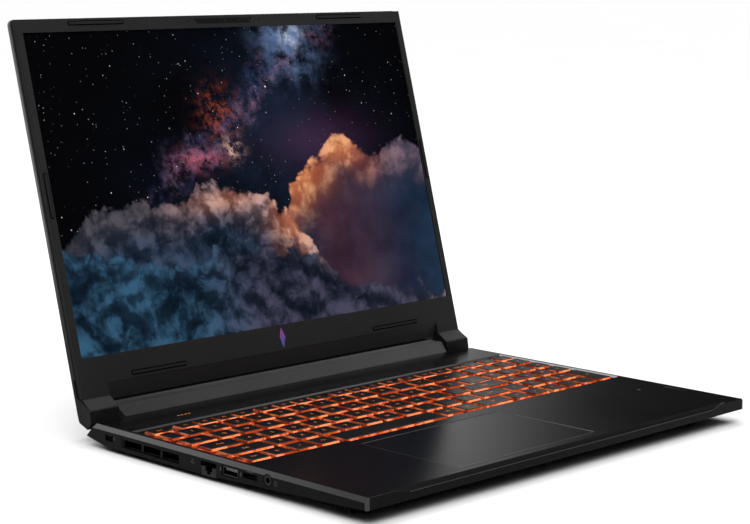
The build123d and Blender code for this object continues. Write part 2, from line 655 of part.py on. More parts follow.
def lock_slot():
    """Steel cup behind the security slot."""
    inner = SIDE_HALF - WALL
    body = mirrored(inner - 3, inner - 0.05, LOCK_Y - 4.6, LOCK_Y + 4.6, PORT_Z - 2.5, PORT_Z + 2.5, -1)
    slot = mirrored(inner - 2.4, SIDE_HALF, LOCK_Y - 3.6, LOCK_Y + 3.6, PORT_Z - 1.5, PORT_Z + 1.5, -1)
    return body - slot


def rear_socket(x, half_w, half_h, tongue_w, tongue_h):
    """Metal video or data socket that opens to the rear, with its tongue."""
    z = REAR_PORT_Z
    shell = block(x - half_w, x + half_w, BAR_REAR - 12, BAR_REAR - 0.3, z - half_h, z + half_h)
    half_w -= 0.4
    half_h -= 0.4
    mouth = block(x - half_w, x + half_w, BAR_REAR - 11, BAR_REAR + 1, z - half_h, z + half_h)
    tongue = block(x - tongue_w, x + tongue_w, BAR_REAR - 11.5, BAR_REAR - 1.5, z - tongue_h, z + tongue_h)
    return shell - mouth + tongue


def dc_jack():
    """Power inlet: round bore that opens to the rear."""
    collar = rod_y(3.7, DC_X, BAR_REAR - 1.9, BAR_REAR - 0.2, REAR_PORT_Z)
    half = 4.2
    body = block(DC_X - half, DC_X + half, BAR_REAR - 13, BAR_REAR - 1.9, REAR_PORT_Z - half, REAR_PORT_Z + half)
    return collar + body - rod_y(DC_R, DC_X, BAR_REAR - 11, BAR_REAR + 1, REAR_PORT_Z)


# ---------------------------------------------------------------- inside the base
def motherboard():
    """Main board with an arm to the ports on each side, notched round the sockets."""
    z0, z1 = BOARD_Z
    board = block(-74, 74, 126, 248, z0, z1) + block(-172, 172, 78, 150, z0, z1)
    well = [mirrored(159, 180, 127, 144.5, -20, 0, -1), mirrored(162, 180, 107, 125, -20, 0, -1),
            mirrored(160, 180, 90.5, 105.5, -20, 0, -1), mirrored(162, 180, 78, 86.5, -20, 0, -1)]
    well += [mirrored(162, 180, y - 8, y + 8, -20, 0, 1) for y in RIGHT_USB_Y]
    places = [(side * x, y) for side in (-1, 1) for x, y in ((66, 238), (66, 160), (150, 146))]
    return cut(board, well + [rod_z(1.6, x, y, -20, 0) for x, y in places + SCREWS])


def processor_chips():
    """Processor and graphics chips under the board."""
    return [block(-52, -20, 206, 236, -8.2, BOARD_Z[0]), block(16, 52, 204, 238, -8.2, BOARD_Z[0])]


def cold_plate():
    """Copper plate over both chips."""
    return block(-56, 56, 201, 241, -9.6, -8.25)


def heat_pipes():
    """Two flattened pipes from the cold plate to the fins on both sides."""
    def pipe(inner_y, outer_y, bend):
        path = Polyline((-134, fy(outer_y)), (-bend - 30, fy(outer_y)), (-bend, fy(inner_y)),
                        (bend, fy(inner_y)), (bend + 30, fy(outer_y)), (134, fy(outer_y)))
        return Pos(0, 0, dz(-12.1)) * extrude(trace(path, 6.5), amount=2.4)
    return [pipe(230, 266, 40), pipe(212, 257.5, 54)]


def fin_comb(x0, x1, y0, y1, z0, z1, pitch):
    """Stack of thin fins on a base strip, fins across X."""
    comb = block(x0, x1, y0, y1, z0, z0 + 0.6)
    count = int((x1 - x0) // pitch)
    fins = [block(x0 + n * pitch, x0 + n * pitch + 0.4, y0, y1, z0, z1) for n in range(count + 1)]
    return comb + fins


def side_fins(side):
    """The same stack behind a side vent, fins across Y."""
    y0, y1 = VENT_Y
    strip = mirrored(160, 172, y0 + 2, y1 - 8, -10.9, -10.4, side)
    fins = [mirrored(160, 172, y0 + 2 + n * 2.2, y0 + 2.4 + n * 2.2, -10.9, -5.4, side) for n in range(24)]
    return strip + fins


def fan_housing(side):
    """Flat blower case: round inlet below, outlets to the rear and the side, and the axle."""
    z0, z1 = FAN_Z
    x = side * FAN_X
    case = block(x - FAN_HALF, x + FAN_HALF, FAN_Y - FAN_HALF, FAN_Y + FAN_HALF, z0, z1)
    inner = FAN_HALF - 1
    room = block(x - inner, x + inner, FAN_Y - inner, FAN_Y + FAN_HALF + 1, z0 + 0.8, z1 - 0.8)
    outlet = mirrored(FAN_X, FAN_X + FAN_HALF + 1, FAN_Y - 20, FAN_Y + 26, z0 + 0.8, z1 - 0.8, side)
    inlet = rod_z(22, x, FAN_Y, z0 - 1, z0 + 1)
    spider = block(x - 23, x + 23, FAN_Y - 2, FAN_Y + 2, z0, z0 + 0.8)
    axle = rod_z(1.5, x, FAN_Y, z0 + 0.5, z1 - 0.5)
    return case - room - outlet - inlet + spider + axle


def fan_impeller(side):
    """Hub with curved-back blades, bored to run on the axle."""
    z0, z1 = FAN_Z[0] + 1.3, FAN_Z[1] - 1.3
    x = side * FAN_X
    hub = rod_z(12, x, FAN_Y, z0, z1)
    disc = rod_z(FAN_R - 2, x, FAN_Y, z1 - 0.5, z1)
    blade = Pos(20.3, 0, dz((z0 + z1) / 2)) * Rot(0, 0, 18) * Box(18, 0.7, z1 - z0)
    blades = [Pos(x, fy(FAN_Y), 0) * Rot(0, 0, n * 360 / BLADES) * blade for n in range(BLADES)]
    wheel = hub + disc + blades
    return wheel - rod_z(1.55, x, FAN_Y, z0 - 1, z1 + 1)


def battery():
    """Battery pack: four cells in one tray."""
    return [block(-98.75 + n * 50, -51.25 + n * 50, 18, 76, -11.6, -5.6) for n in range(4)]


def hinge_bracket(side):
    """Knuckle on a screwed-down foot; the lid's shaft turns in its bore."""
    top = BAR_H - BAR_WALL - 0.1
    outline = [(AXIS_Y - 4.2, -6.0), (AXIS_Y + 4.2, -6.0), (AXIS_Y + 4.2, top), (AXIS_Y - 2.8, top),
               (AXIS_Y - 4.2, top - 1.8)]
    knuckle = across(outline, *sorted((side * 141.5, side * 149.8)))
    foot = mirrored(141.5, 149.8, 244, AXIS_Y + 6, -7.6, -6.0, side)
    pad = mirrored(118, 149.8, 236, 250, -7.6, -6.0, side)
    bore = rod_x(SHAFT_R + SHAFT_PLAY, *sorted((side * 140, side * 151)), AXIS_Y, AXIS_Z)
    return knuckle + foot + pad - bore


def speaker(side):
    """Speaker box in a front corner."""
    return mirrored(112, 158, 20, 60, -10.4, -5.4, side)


# ---------------------------------------------------------------- lid, drawn upright
def lid(shape):
    """Lean an upright lid piece back and put it over the deck."""
    place = Pos(0, fy(SCREEN_Y), dz(SCREEN_Z)) * Rot(-LEAN, 0, 0)
    return [place * s for s in shape] if isinstance(shape, list) else place * shape


def sheet(points, x0, x1):
    """Prism along X of an outline in (depth behind the bezel, height up the screen)."""
    wire = Polyline(*[(x0, y, z) for y, z in points], close=True)
    return extrude(make_face(wire), amount=x1 - x0, dir=(1, 0, 0))


def slab(half, bottom, top, y0, y1):
    """Upright slab, symmetrical about X = 0."""
    return Pos(-half, y0, bottom) * Box(2 * half, y1 - y0, top - bottom, align=Align.MIN)


def ear_prism(side, inset, x0, x1):
    """The hinge ear's section between two half widths, its walls drawn in by inset."""
    top = -12.0 if inset else -18.0
    ring = [(0, top)] + list(EAR) + [(LID_T, top)]
    face = make_face(Polyline(*[(0, y, z) for y, z in ring], close=True))
    if inset:
        face = offset(face, -inset, kind=Kind.INTERSECTION)
    return Pos(min(side * x0, side * x1), 0, 0) * extrude(face, amount=x1 - x0, dir=(1, 0, 0))


def lid_hollow():
    """Room inside the lid, behind the bezel and in the ears."""
    plate = slab(LID_HALF - 2.2, -16, LID_TOP - 2.4, BEZEL_T, LID_T - SKIN)
    chin = sheet([(BEZEL_T, -10), (BEZEL_T, -17.4), (LID_T - SKIN - 1.3, -25.6), (LID_T - SKIN, -25.0),
                  (LID_T - SKIN, -10)], -EAR_IN + 1.5, EAR_IN - 1.5)
    ears = both(lambda side: ear_prism(side, SKIN, EAR_IN + SKIN, LID_HALF - 1.7))
    return [plate, chin] + ears


def groove_side():
    """Everything on the bezel's side of the joint between the lid's two shells; between the
    ears the bezel also takes the whole sloped chin."""
    reach = 30
    plate = sheet([(-reach, 400), (-reach, -34.2), (-6.8, -34.2), (SPLIT, -24.3), (SPLIT, 400)], -300, 300)
    chin = sheet([(0, -12), (0, -40), (7.0, -40), (7.0, -27.0), (SPLIT, -20), (SPLIT, -12)],
                 -EAR_IN + 0.2, EAR_IN - 0.2)
    return plate + chin


def lid_outer(half, top, y0):
    """The closed outer form of the lid's plate, chin and ears."""
    chin = list(CHIN) + [(LID_T, 0), (0, 0)]
    body = sheet(chin, -EAR_IN, EAR_IN) + slab(half, -18, top, y0, LID_T)
    for side in (-1, 1):
        body = body + ear_prism(side, 0, EAR_IN, half)
    return body


def shaft_holes():
    """Ways in for the hinge shafts through the ears' inner faces."""
    return both(lambda side: Pos(side * EAR_IN, AXIS_BACK, AXIS_UP) * Rot(0, 90, 0)
                * Cylinder(SHAFT_R + 0.6, 6))


def lid_back_cover():
    """Outer shell of the lid with the hinge ears' backs and bottoms."""
    body = lid_outer(LID_HALF, LID_TOP, 0)
    corners = body.edges().filter_by(Axis.Y).group_by(Axis.Z)[-1]
    body = fillet(corners, LID_CORNER)
    body = chamfer(body.faces().sort_by(Axis.Y)[-1].outer_wire().edges(), 1.0)
    return cut(body, [groove_side()] + lid_hollow() + shaft_holes())


def screen_bezel():
    """Front frame of the lid, its side edges and the ears' sloped fronts."""
    body = lid_outer(BEZEL_HALF, BEZEL_TOP, 0) & groove_side()
    window = slab(ACTIVE_W / 2, 0, ACTIVE_H, -1, BEZEL_T + 0.1)
    hollow = lid_hollow()
    body = cut(body, [window] + hollow[1:] + shaft_holes())
    return body - slab(BEZEL_HALF - 1.6, -16, BEZEL_TOP - 1.6, BEZEL_T, SPLIT + 1)


def lcd_panel():
    """Display panel behind the bezel's window."""
    return slab(174.2, -7, 219.6, BEZEL_T + 0.05, 4.0)


def webcam_module():
    """Camera board with its lens, behind the bezel's top bar."""
    board = Pos(0, 2.6, BEZEL_TOP - 3.0) * Box(60, 1.0, 2.4)
    return board + Pos(0, 1.8, BEZEL_TOP - 3.0) * Rot(90, 0, 0) * Cylinder(1.1, 1.4)


def lid_bumpers():
    """Six thin rubber strips that meet the deck when the lid closes."""
    def strip(x, z, length, tall):
        size = (1.7, length) if tall else (length, 1.7)
        face = Plane.XZ * RectangleRounded(*size, 0.8)
        return Pos(x, 0, z) * extrude(face, amount=CLOSED_GAP - 0.3)
    pairs = [(112.5, 221.0, 45, False), (175.0, 107.5, 29, True), (111.7, -14.6, 46, False)]
    return [strip(side * x, z, length, tall) for side in (-1, 1) for x, z, length, tall in pairs]


def hinge_shaft(side):
    """Steel shaft fixed in the lid's arm; it turns in the base's knuckle."""
    return Pos(side * 156.5, AXIS_BACK, AXIS_UP) * Rot(0, 90, 0) * Cylinder(SHAFT_R, 29)


def hinge_arm(side):
    """Collar on the shaft with a leaf that runs up behind the panel."""
    collar = Pos(side * 164.5, AXIS_BACK, AXIS_UP) * Rot(0, 90, 0) * Cylinder(3.6, 12)
    low, high = sorted((side * 158.5, side * 170.5))
    back = LID_T - SKIN
    leaf = sheet([(back - 1.4, AXIS_UP), (back - 0.2, AXIS_UP), (back - 0.2, 60), (back - 1.4, 60)],
                 low, high)
    web = sheet([(AXIS_BACK, AXIS_UP + 1), (back - 0.3, AXIS_UP - 1), (back - 0.3, AXIS_UP + 5)], low, high)
    bore = Pos(side * 164.5, AXIS_BACK, AXIS_UP) * Rot(0, 90, 0) * Cylinder(SHAFT_R, 14)
    return collar + leaf + web - bore


# ---------------------------------------------------------------- build
def main():
    os.makedirs("parts", exist_ok=True)
    nodes = {
        "top_deck": top_deck(), "bottom_cover": bottom_cover(), "exhaust_bar": exhaust_bar(),
        "rubber_feet": rubber_feet(), "bottom_screws": bottom_screws(),
        "keyboard_plate": keyboard_plate(), "backlight_sheet": backlight_sheet(), "touchpad": touchpad(),
        "rj45_jack": rj45_jack(), "rj45_jaw": rj45_jaw(), "usb_a_port_left": usb_a_port(-1, USB_A_Y),
        "usb_a_ports_right": [usb_a_port(1, y) for y in RIGHT_USB_Y], "card_reader": card_reader(),
        "audio_jack": audio_jack(), "lock_slot": lock_slot(),
        "hdmi_port": rear_socket(HDMI_X, 7.5, 2.7, 5.4, 0.9),
        "usb_c_port": rear_socket(USB_C_X, 4.6, 1.7, 3.2, 0.35), "dc_power_jack": dc_jack(),
        "motherboard": motherboard(), "processor_chips": processor_chips(), "cold_plate": cold_plate(),
        "heat_pipes": heat_pipes(),
        "rear_fins": [fin_comb(x, x + 74, 259, 272.5, -9.6, 3.9, 2.4) for x in (-138, 64)],
        "side_fins": both(side_fins),
        "fan_housing_left": fan_housing(-1), "fan_housing_right": fan_housing(1),
        "fan_impeller_left": fan_impeller(-1), "fan_impeller_right": fan_impeller(1),
        "battery": battery(), "speakers": both(speaker),
        "solid_state_drive": block(-60, 20, 128, 150, -10.4, -8.0),
        "memory_modules": [block(-35, 35, 152, 182, -9.0, -7.8), block(-35, 35, 152, 182, -11.6, -10.4)],
        "wireless_card": block(40, 70, 128, 150, -9.6, -7.6),
        "hinge_bracket_left": hinge_bracket(-1), "hinge_bracket_right": hinge_bracket(1),
        "lid_back_cover": lid(lid_back_cover()), "screen_bezel": lid(screen_bezel()),
        "lcd_panel": lid(lcd_panel()), "webcam_module": lid(webcam_module()),
        "lid_bumpers": lid(lid_bumpers()),
        "hinge_shaft_left": lid(hinge_shaft(-1)), "hinge_shaft_right": lid(hinge_shaft(1)),
        "hinge_arm_left": lid(hinge_arm(-1)), "hinge_arm_right": lid(hinge_arm(1)),
    }
    nodes.update(keys())
    for name, shape in nodes.items():
        save(name, shape)
    print("hinge axis", fy(AXIS_Y), dz(AXIS_Z), "nodes", len(nodes))


main()
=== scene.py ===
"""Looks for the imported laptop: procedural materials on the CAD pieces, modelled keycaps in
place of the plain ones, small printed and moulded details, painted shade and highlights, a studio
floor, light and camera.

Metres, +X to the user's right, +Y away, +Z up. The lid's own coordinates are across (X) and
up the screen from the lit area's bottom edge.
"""
import math

import bmesh
import bpy
from mathutils import Matrix, Vector


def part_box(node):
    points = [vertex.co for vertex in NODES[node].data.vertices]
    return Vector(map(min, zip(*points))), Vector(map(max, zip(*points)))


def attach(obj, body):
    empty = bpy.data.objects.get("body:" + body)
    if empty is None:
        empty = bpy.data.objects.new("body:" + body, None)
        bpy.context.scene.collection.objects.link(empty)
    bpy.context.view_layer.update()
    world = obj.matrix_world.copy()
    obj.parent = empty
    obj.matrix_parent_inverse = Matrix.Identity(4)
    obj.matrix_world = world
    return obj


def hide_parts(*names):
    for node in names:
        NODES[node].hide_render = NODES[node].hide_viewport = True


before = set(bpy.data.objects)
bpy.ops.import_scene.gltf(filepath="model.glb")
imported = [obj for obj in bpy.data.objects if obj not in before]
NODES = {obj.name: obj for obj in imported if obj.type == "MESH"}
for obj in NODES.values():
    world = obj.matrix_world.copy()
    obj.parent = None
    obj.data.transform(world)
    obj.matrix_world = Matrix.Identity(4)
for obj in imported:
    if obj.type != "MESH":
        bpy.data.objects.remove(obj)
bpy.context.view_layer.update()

MM = 0.001

# ---------------------------------------------------------------- places read from the frame
DECK_LOW, DECK_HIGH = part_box("top_deck")
DECK_Z = DECK_HIGH[2]
FRONT_Y = DECK_LOW[1]
LEAN = math.radians(15.17)  # the display's lean back from upright
LIT_W = 344.7 * MM          # lit area of the display
LIT_H = 215.4 * MM
# middle of the lit area's bottom edge
LIT_FOOT = Vector((0, FRONT_Y + 269.5 * MM, DECK_Z + 38.2 * MM))
UP_SCREEN = Vector((0, math.sin(LEAN), math.cos(LEAN)))
OUT_SCREEN = Vector((0, -math.cos(LEAN), math.sin(LEAN)))
# the next three are in millimetres
LID_DEEP = 7.7              # bezel face to the lid's outer face
SIDE_WALL = 178.5           # half width between the side walls
BAR_TOP = 6.5               # top of the exhaust bar over the deck


def deck(x, y, z=0.0):
    """Point from millimetres: X, distance behind the deck's front edge, height above the deck."""
    return Vector((x * MM, FRONT_Y + y * MM, DECK_Z + z * MM))


def behind(distance):
    """Y of a line that many millimetres behind the deck's front edge."""
    return FRONT_Y + distance * MM


def level(height):
    """Z of a height over the deck in millimetres."""
    return DECK_Z + height * MM


def on_lid(u, v, n=0.0):
    """Point from millimetres: X, height up the screen, distance in front of the bezel's face."""
    return LIT_FOOT + Vector((u * MM, 0, 0)) + UP_SCREEN * (v * MM) + OUT_SCREEN * (n * MM)


def on_back(u, v, out):
    """Point on the lid's outer face from millimetres: X, height up the screen, proud."""
    return on_lid(u, v, -LID_DEEP - out)


def on_side(y, z, out):
    """Point on the left wall from millimetres: distance behind the front edge, height, proud."""
    return deck(-SIDE_WALL - out, y, z)


def on_grille(y, z, out):
    """As on_side, for the speaker grille, which is set back by 0.9 mm."""
    return deck(-SIDE_WALL + 0.9 - out, y, z)


def on_front(x, z, out):
    """Point on the front face from millimetres: X, height, proud."""
    return deck(x, -out, z)


def on_bar(x, y, out):
    """Point on the exhaust bar's flat top from millimetres: X, distance behind the front, proud."""
    return deck(x, y, BAR_TOP + out)


# ---------------------------------------------------------------- node material helper
class Shade:
    """Short calls for building one node material around a Principled shader."""

    def __init__(self, name, **sockets):
        self.material = bpy.data.materials.new(name)
        self.material.use_nodes = True
        self.tree = self.material.node_tree
        self.tree.nodes.clear()
        self.output = self.tree.nodes.new("ShaderNodeOutputMaterial")
        self.surface = self.tree.nodes.new("ShaderNodeBsdfPrincipled")
        self.tree.links.new(self.surface.outputs[0], self.output.inputs["Surface"])
        self.set(**sockets)
        self._place = None

    def set(self, **sockets):
        """Socket values or links on the shader; underscores in a name stand for spaces."""
        for name, value in sockets.items():
            self.put(self.surface.inputs[name.replace("_", " ")], value)

    def put(self, socket, value):
        if isinstance(value, bpy.types.NodeSocket):
            self.tree.links.new(value, socket)
        elif isinstance(value, (tuple, list)) and socket.type == "RGBA" and len(value) == 3:
            socket.default_value = (*value, 1.0)
        else:
            socket.default_value = value

    def add(self, kind, inputs=None, out=0, **settings):
        """A node of that kind with its settings and inputs (by name or number); its output."""
        node = self.tree.nodes.new("ShaderNode" + kind)
        for name, value in settings.items():
            setattr(node, name, value)
        for name, value in (inputs or {}).items():
            self.put(node.inputs[name], value)
        return node.outputs[out]

    def place(self):
        """Position in the rest frame, in metres; it moves with its body."""
        if self._place is None:
            self._place = self.add("TexCoord", out="Object")
        return self._place

    def math(self, operation, a, b=0.0):
        return self.add("Math", {0: a, 1: b}, operation=operation)

    def times(self, a, b):
        return self.math("MULTIPLY", a, b)

    def plus(self, a, b):
        return self.math("ADD", a, b)

    def minus(self, a, b):
        return self.math("SUBTRACT", a, b)

    def ratio(self, a, b):
        return self.math("DIVIDE", a, b)

    def size(self, a):
        return self.math("ABSOLUTE", a)

    def share(self, a, part, b):
        """That part of a, and the rest of b."""
        return self.plus(self.times(a, part), self.times(b, 1.0 - part))

    def along(self, vector, direction, origin=(0, 0, 0)):
        """Distance of the position from origin along a direction."""
        moved = self.add("VectorMath", {0: vector, 1: tuple(origin)}, operation="SUBTRACT")
        return self.add("VectorMath", {0: moved, 1: tuple(direction)}, out="Value",
                        operation="DOT_PRODUCT")

    def split(self, vector):
        node = self.tree.nodes.new("ShaderNodeSeparateXYZ")
        self.put(node.inputs[0], vector)
        return node.outputs[0], node.outputs[1], node.outputs[2]

    def noise(self, scale, detail=3.0, rough=0.5, at=None, out="Fac"):
        return self.add("TexNoise", {"Vector": at or self.place(), "Scale": scale, "Detail": detail,
                                     "Roughness": rough}, out=out)

    def ramp(self, value, low, high, to_low=0.0, to_high=1.0, smooth=True):
        """value taken from low..high to to_low..to_high, held at both ends."""
        return self.add("MapRange", {0: value, 1: low, 2: high, 3: to_low, 4: to_high},
                        interpolation_type="SMOOTHSTEP" if smooth else "LINEAR", clamp=True)

    def fall(self, value, low, high):
        """Mask: 1 up to low, 0 from high."""
        return self.ramp(value, low, high, 1.0, 0.0)

    def mix(self, factor, a, b, kind="MIX"):
        node = self.tree.nodes.new("ShaderNodeMix")
        node.data_type = "RGBA"
        node.blend_type = kind
        node.clamp_factor = True
        self.put(node.inputs[0], factor)
        self.put(node.inputs[6], a)
        self.put(node.inputs[7], b)
        return node.outputs[2]

    def bump(self, height, distance):
        return self.add("Bump", {"Height": height, "Distance": distance, "Strength": 1.0})


def moulded(name, dark, light, rough, grain=9000, depth=0.00002, spread=0.08, specular=0.5):
    """Moulded or coated surface: fine grain in the bump, slow drifts in colour and gloss."""
    s = Shade(name)
    drift = s.noise(14, 4)
    fine = s.noise(grain, 2, 0.6)
    speck = s.noise(grain * 0.35, 3, 0.7)
    s.set(Base_Color=s.mix(s.ramp(s.share(drift, 0.55, speck), 0.3, 0.7), dark, light))
    s.set(Roughness=s.ramp(s.share(drift, 0.6, speck), 0.25, 0.75, rough - spread, rough + spread))
    s.set(Normal=s.bump(fine, depth))
    s.set(Specular_IOR_Level=specular)
    return s.material


def dress(node, material):
    """Give a CAD node a material in every slot."""
    obj = NODES[node]
    if not obj.data.materials:
        obj.data.materials.append(material)
    for slot in obj.material_slots:
        slot.link = "OBJECT"
        slot.material = material


def soften(node, width):
    """Rounded edges on a CAD node, as modifiers."""
    obj = NODES[node]
    weld = obj.modifiers.new("join", "WELD")
    weld.merge_threshold = 0.000002
    bevel = obj.modifiers.new("edge", "BEVEL")
    bevel.width = width
    bevel.segments = 2
    bevel.limit_method = "ANGLE"
    bevel.angle_limit = math.radians(35)
    bevel.use_clamp_overlap = True


def new_piece(name, mesh, body, material):
    """A mesh as a named piece that rides on a body."""
    obj = bpy.data.objects.new(name, mesh)
    bpy.context.scene.collection.objects.link(obj)
    mesh.materials.append(material)
    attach(obj, body)
    return obj


# ---------------------------------------------------------------- plastics, metals and coatings
def deck_coating():
    """Near-black soft coating with a row of fine holes behind the keyboard; masks paint painted
    shade on the side walls, vent recess, grip recess and holes, and painted highlights on the
    chamfer strips, corner facets and well bevels."""
    s = Shade("deck_coating", Specular_IOR_Level=0.05)
    x, y, z = s.split(s.place())
    wide = s.size(x)
    drift = s.noise(9, 4)
    fine = s.noise(7000, 2, 0.6)
    speck = s.noise(2600, 3, 0.7)
    # holes in staggered rows, from 231 to 245.5 mm behind the front edge
    pitch = 2.1 * MM
    row_pitch = 0.866           # of the pitch: rows of a triangular grid
    row = s.ratio(s.minus(y, behind(231.0)), pitch * row_pitch)
    odd = s.times(s.math("MODULO", s.math("FLOOR", row), 2.0), 0.5)
    column = s.plus(s.ratio(s.plus(x, 0.5), pitch), odd)
    across = s.minus(s.math("FRACT", column), 0.5)
    along = s.times(s.minus(s.math("FRACT", row), 0.5), row_pitch)
    far = s.math("SQRT", s.plus(s.times(across, across), s.times(along, along)))
    hole = s.fall(far, 0.20, 0.29)
    inside = s.times(s.fall(s.size(x), 150.0 * MM, 150.2 * MM),
                     s.times(s.ramp(y, behind(231.0), behind(231.1)),
                             s.fall(y, behind(245.5), behind(245.6))))
    holes = s.times(hole, s.times(inside, s.ramp(z, level(-0.6), level(-0.4))))
    tone = s.ramp(s.share(drift, 0.5, speck), 0.3, 0.7)
    base = s.mix(tone, (0.0022, 0.0022, 0.0024), (0.0038, 0.0037, 0.0039))
    # side walls, and the vents' recess in them: painted shade, darker than the deck
    wall = s.ramp(wide, (SIDE_WALL - 0.15) * MM, (SIDE_WALL - 0.05) * MM)
    recess = s.times(s.fall(wide, (SIDE_WALL - 0.15) * MM, (SIDE_WALL - 0.08) * MM),
                     s.fall(z, level(-4.9), level(-4.5)))
    base = s.mix(s.math("MAXIMUM", wall, recess), base,
                 s.mix(tone, (0.0008, 0.0008, 0.0008), (0.0014, 0.0014, 0.0014)))
    # painted shade in the grip recess under the front edge
    grip = s.times(s.fall(y, behind(2.7), behind(2.8)), s.ramp(z, level(-0.1), level(-0.15)))
    base = s.mix(grip, base, (0.0006, 0.0006, 0.0006))
    # painted highlight on the chamfer strips along both sides, lighter towards the back
    strip = s.times(s.ramp(wide, 176.82 * MM, 176.95 * MM), s.ramp(z, level(-3.1), level(-2.9)))
    strip_highlight = s.mix(s.ramp(y, FRONT_Y, behind(240)), (0.036, 0.036, 0.037),
                       (0.100, 0.100, 0.103))
    base = s.mix(strip, base, strip_highlight)
    # painted highlight on the rear bevel of the keyboard's well
    below_top = (level(-0.12), level(-0.18))
    bevel = s.times(s.ramp(y, behind(214.0), behind(214.1)),
                    s.fall(y, behind(215.7), behind(215.8)))
    bevel = s.times(bevel, s.ramp(z, *below_top))
    bevel = s.times(bevel, s.fall(wide, 175.2 * MM, 175.3 * MM))
    base = s.mix(bevel, base, (0.022, 0.022, 0.0225))
    # painted highlight on the right bevel of the well, the brightest line of the deck
    well_edge_highlight = s.times(s.ramp(x, 171.85 * MM, 171.95 * MM), s.fall(x, 174.95 * MM, 175.05 * MM))
    well_edge_highlight = s.times(well_edge_highlight, s.ramp(y, behind(104), behind(105)))
    well_edge_highlight = s.times(well_edge_highlight, s.ramp(z, *below_top))
    base = s.mix(well_edge_highlight, base, s.mix(s.noise(180, 3), (0.26, 0.26, 0.265), (0.36, 0.36, 0.365)))
    # painted highlight on the facets across the front corners
    corner = s.minus(wide, s.minus(y, FRONT_Y))
    facet_highlight = s.times(s.ramp(corner, 176.55 * MM, 176.65 * MM), s.ramp(z, level(-0.2), level(-0.5)))
    base = s.mix(facet_highlight, base, (0.050, 0.050, 0.051))
    # painted shade: the holes are near-black
    s.set(Base_Color=s.mix(holes, base, (0.0004, 0.0004, 0.0004)))
    s.set(Roughness=s.ramp(s.share(drift, 0.5, speck), 0.25, 0.75, 0.19, 0.25))
    s.set(Normal=s.bump(s.minus(s.times(fine, 0.02), holes), 0.0006))
    return s.material


def bar_plastic():
    """Grained plastic of the exhaust bar; its flat top is painted near-black as the lid's shadow,
    and its face is painted lighter towards the right as a sheen.
    """
    s = Shade("bar_plastic", Specular_IOR_Level=0.2)
    x, y, z = s.split(s.place())
    drift = s.noise(14, 4)
    grain = s.noise(2600, 3, 0.7)
    # painted shadow: the flat top, under the lid, is near-black
    top = s.times(s.ramp(z, level(6.2), level(6.4)), s.ramp(y, behind(269), behind(269.8)))
    # painted sheen: the face is lighter towards the right
    sheen_to_right = s.ramp(x, -150 * MM, 150 * MM, smooth=False)
    face = s.mix(s.ramp(grain, 0.3, 0.7),
                 s.mix(sheen_to_right, (0.0125, 0.0125, 0.0128), (0.033, 0.033, 0.0335)),
                 s.mix(sheen_to_right, (0.0200, 0.0200, 0.0205), (0.048, 0.048, 0.0485)))
    s.set(Base_Color=s.mix(top, face,
                           s.mix(drift, (0.0010, 0.0010, 0.0011), (0.0020, 0.0020, 0.0021))))
    s.set(Roughness=s.plus(s.ramp(drift, 0.3, 0.7, 0.52, 0.62), s.times(top, 0.35)))
    s.set(Normal=s.bump(grain, 0.00003))
    return s.material


def lid_coating():
    """Grey metallic lacquer on the lid; below the hinge line it is dark plastic, and the rim
    darkens towards the hinges as painted shade."""
    s = Shade("lid_coating", Specular_IOR_Level=0.08)
    x = s.split(s.place())[0]
    up = s.along(s.place(), UP_SCREEN, LIT_FOOT)
    drift = s.noise(14, 4)
    flake = s.noise(3200, 2, 0.7)
    metal = s.ramp(up, -12.8 * MM, -12.4 * MM)
    # painted shade: the rim of the lid's sides darkens towards the hinges
    rim = s.times(s.ramp(s.size(x), (SIDE_WALL - 0.3) * MM, SIDE_WALL * MM),
                 s.fall(up, 10 * MM, 110 * MM))
    lacquer = s.mix(s.ramp(flake, 0.3, 0.7), (0.100, 0.100, 0.103), (0.165, 0.165, 0.168))
    lacquer = s.mix(rim, lacquer, (0.012, 0.012, 0.012))
    plastic = s.mix(s.ramp(flake, 0.3, 0.7), (0.0075, 0.0075, 0.0077), (0.0110, 0.0110, 0.0112))
    s.set(Base_Color=s.mix(metal, plastic, lacquer))
    s.set(Metallic=s.times(s.times(metal, s.minus(1.0, rim)), 0.5))
    s.set(Roughness=s.plus(s.ramp(drift, 0.3, 0.7, 0.38, 0.46), s.ramp(metal, 0.0, 1.0, 0.12, 0.0)))
    s.set(Normal=s.bump(flake, 0.00002))
    return s.material


def bezel_plastic():
    """Fine-grained black plastic; painted shade darkens the frame's side walls, and painted light
    makes the stepped-back chin lighter than the face.
    """
    s = Shade("bezel_plastic", Specular_IOR_Level=0.2)
    x = s.split(s.place())[0]
    out = s.along(s.place(), OUT_SCREEN, LIT_FOOT)
    drift = s.noise(14, 4)
    grain = s.noise(3200, 3, 0.7)
    # painted shade: the frame's side walls are darker than the face
    side = s.ramp(s.size(x), 177.2 * MM, 177.4 * MM)
    # painted light: the stepped-back chin is lighter than the face
    chin_light = s.times(s.ramp(out, -0.1 * MM, -0.4 * MM), s.fall(s.size(x), 154.5 * MM, 155.0 * MM))
    tone = s.ramp(s.share(drift, 0.5, grain), 0.35, 0.65)
    face = s.mix(tone, (0.0140, 0.0140, 0.0142), (0.0178, 0.0178, 0.0180))
    shade = s.mix(tone, (0.0026, 0.0026, 0.0027), (0.0040, 0.0040, 0.0041))
    face = s.mix(chin_light, face, s.mix(tone, (0.0270, 0.0272, 0.0276), (0.0340, 0.0343, 0.0347)))
    s.set(Base_Color=s.mix(side, face, shade))
    s.set(Roughness=s.ramp(drift, 0.3, 0.7, 0.56, 0.66), Normal=s.bump(grain, 0.00002))
    return s.material


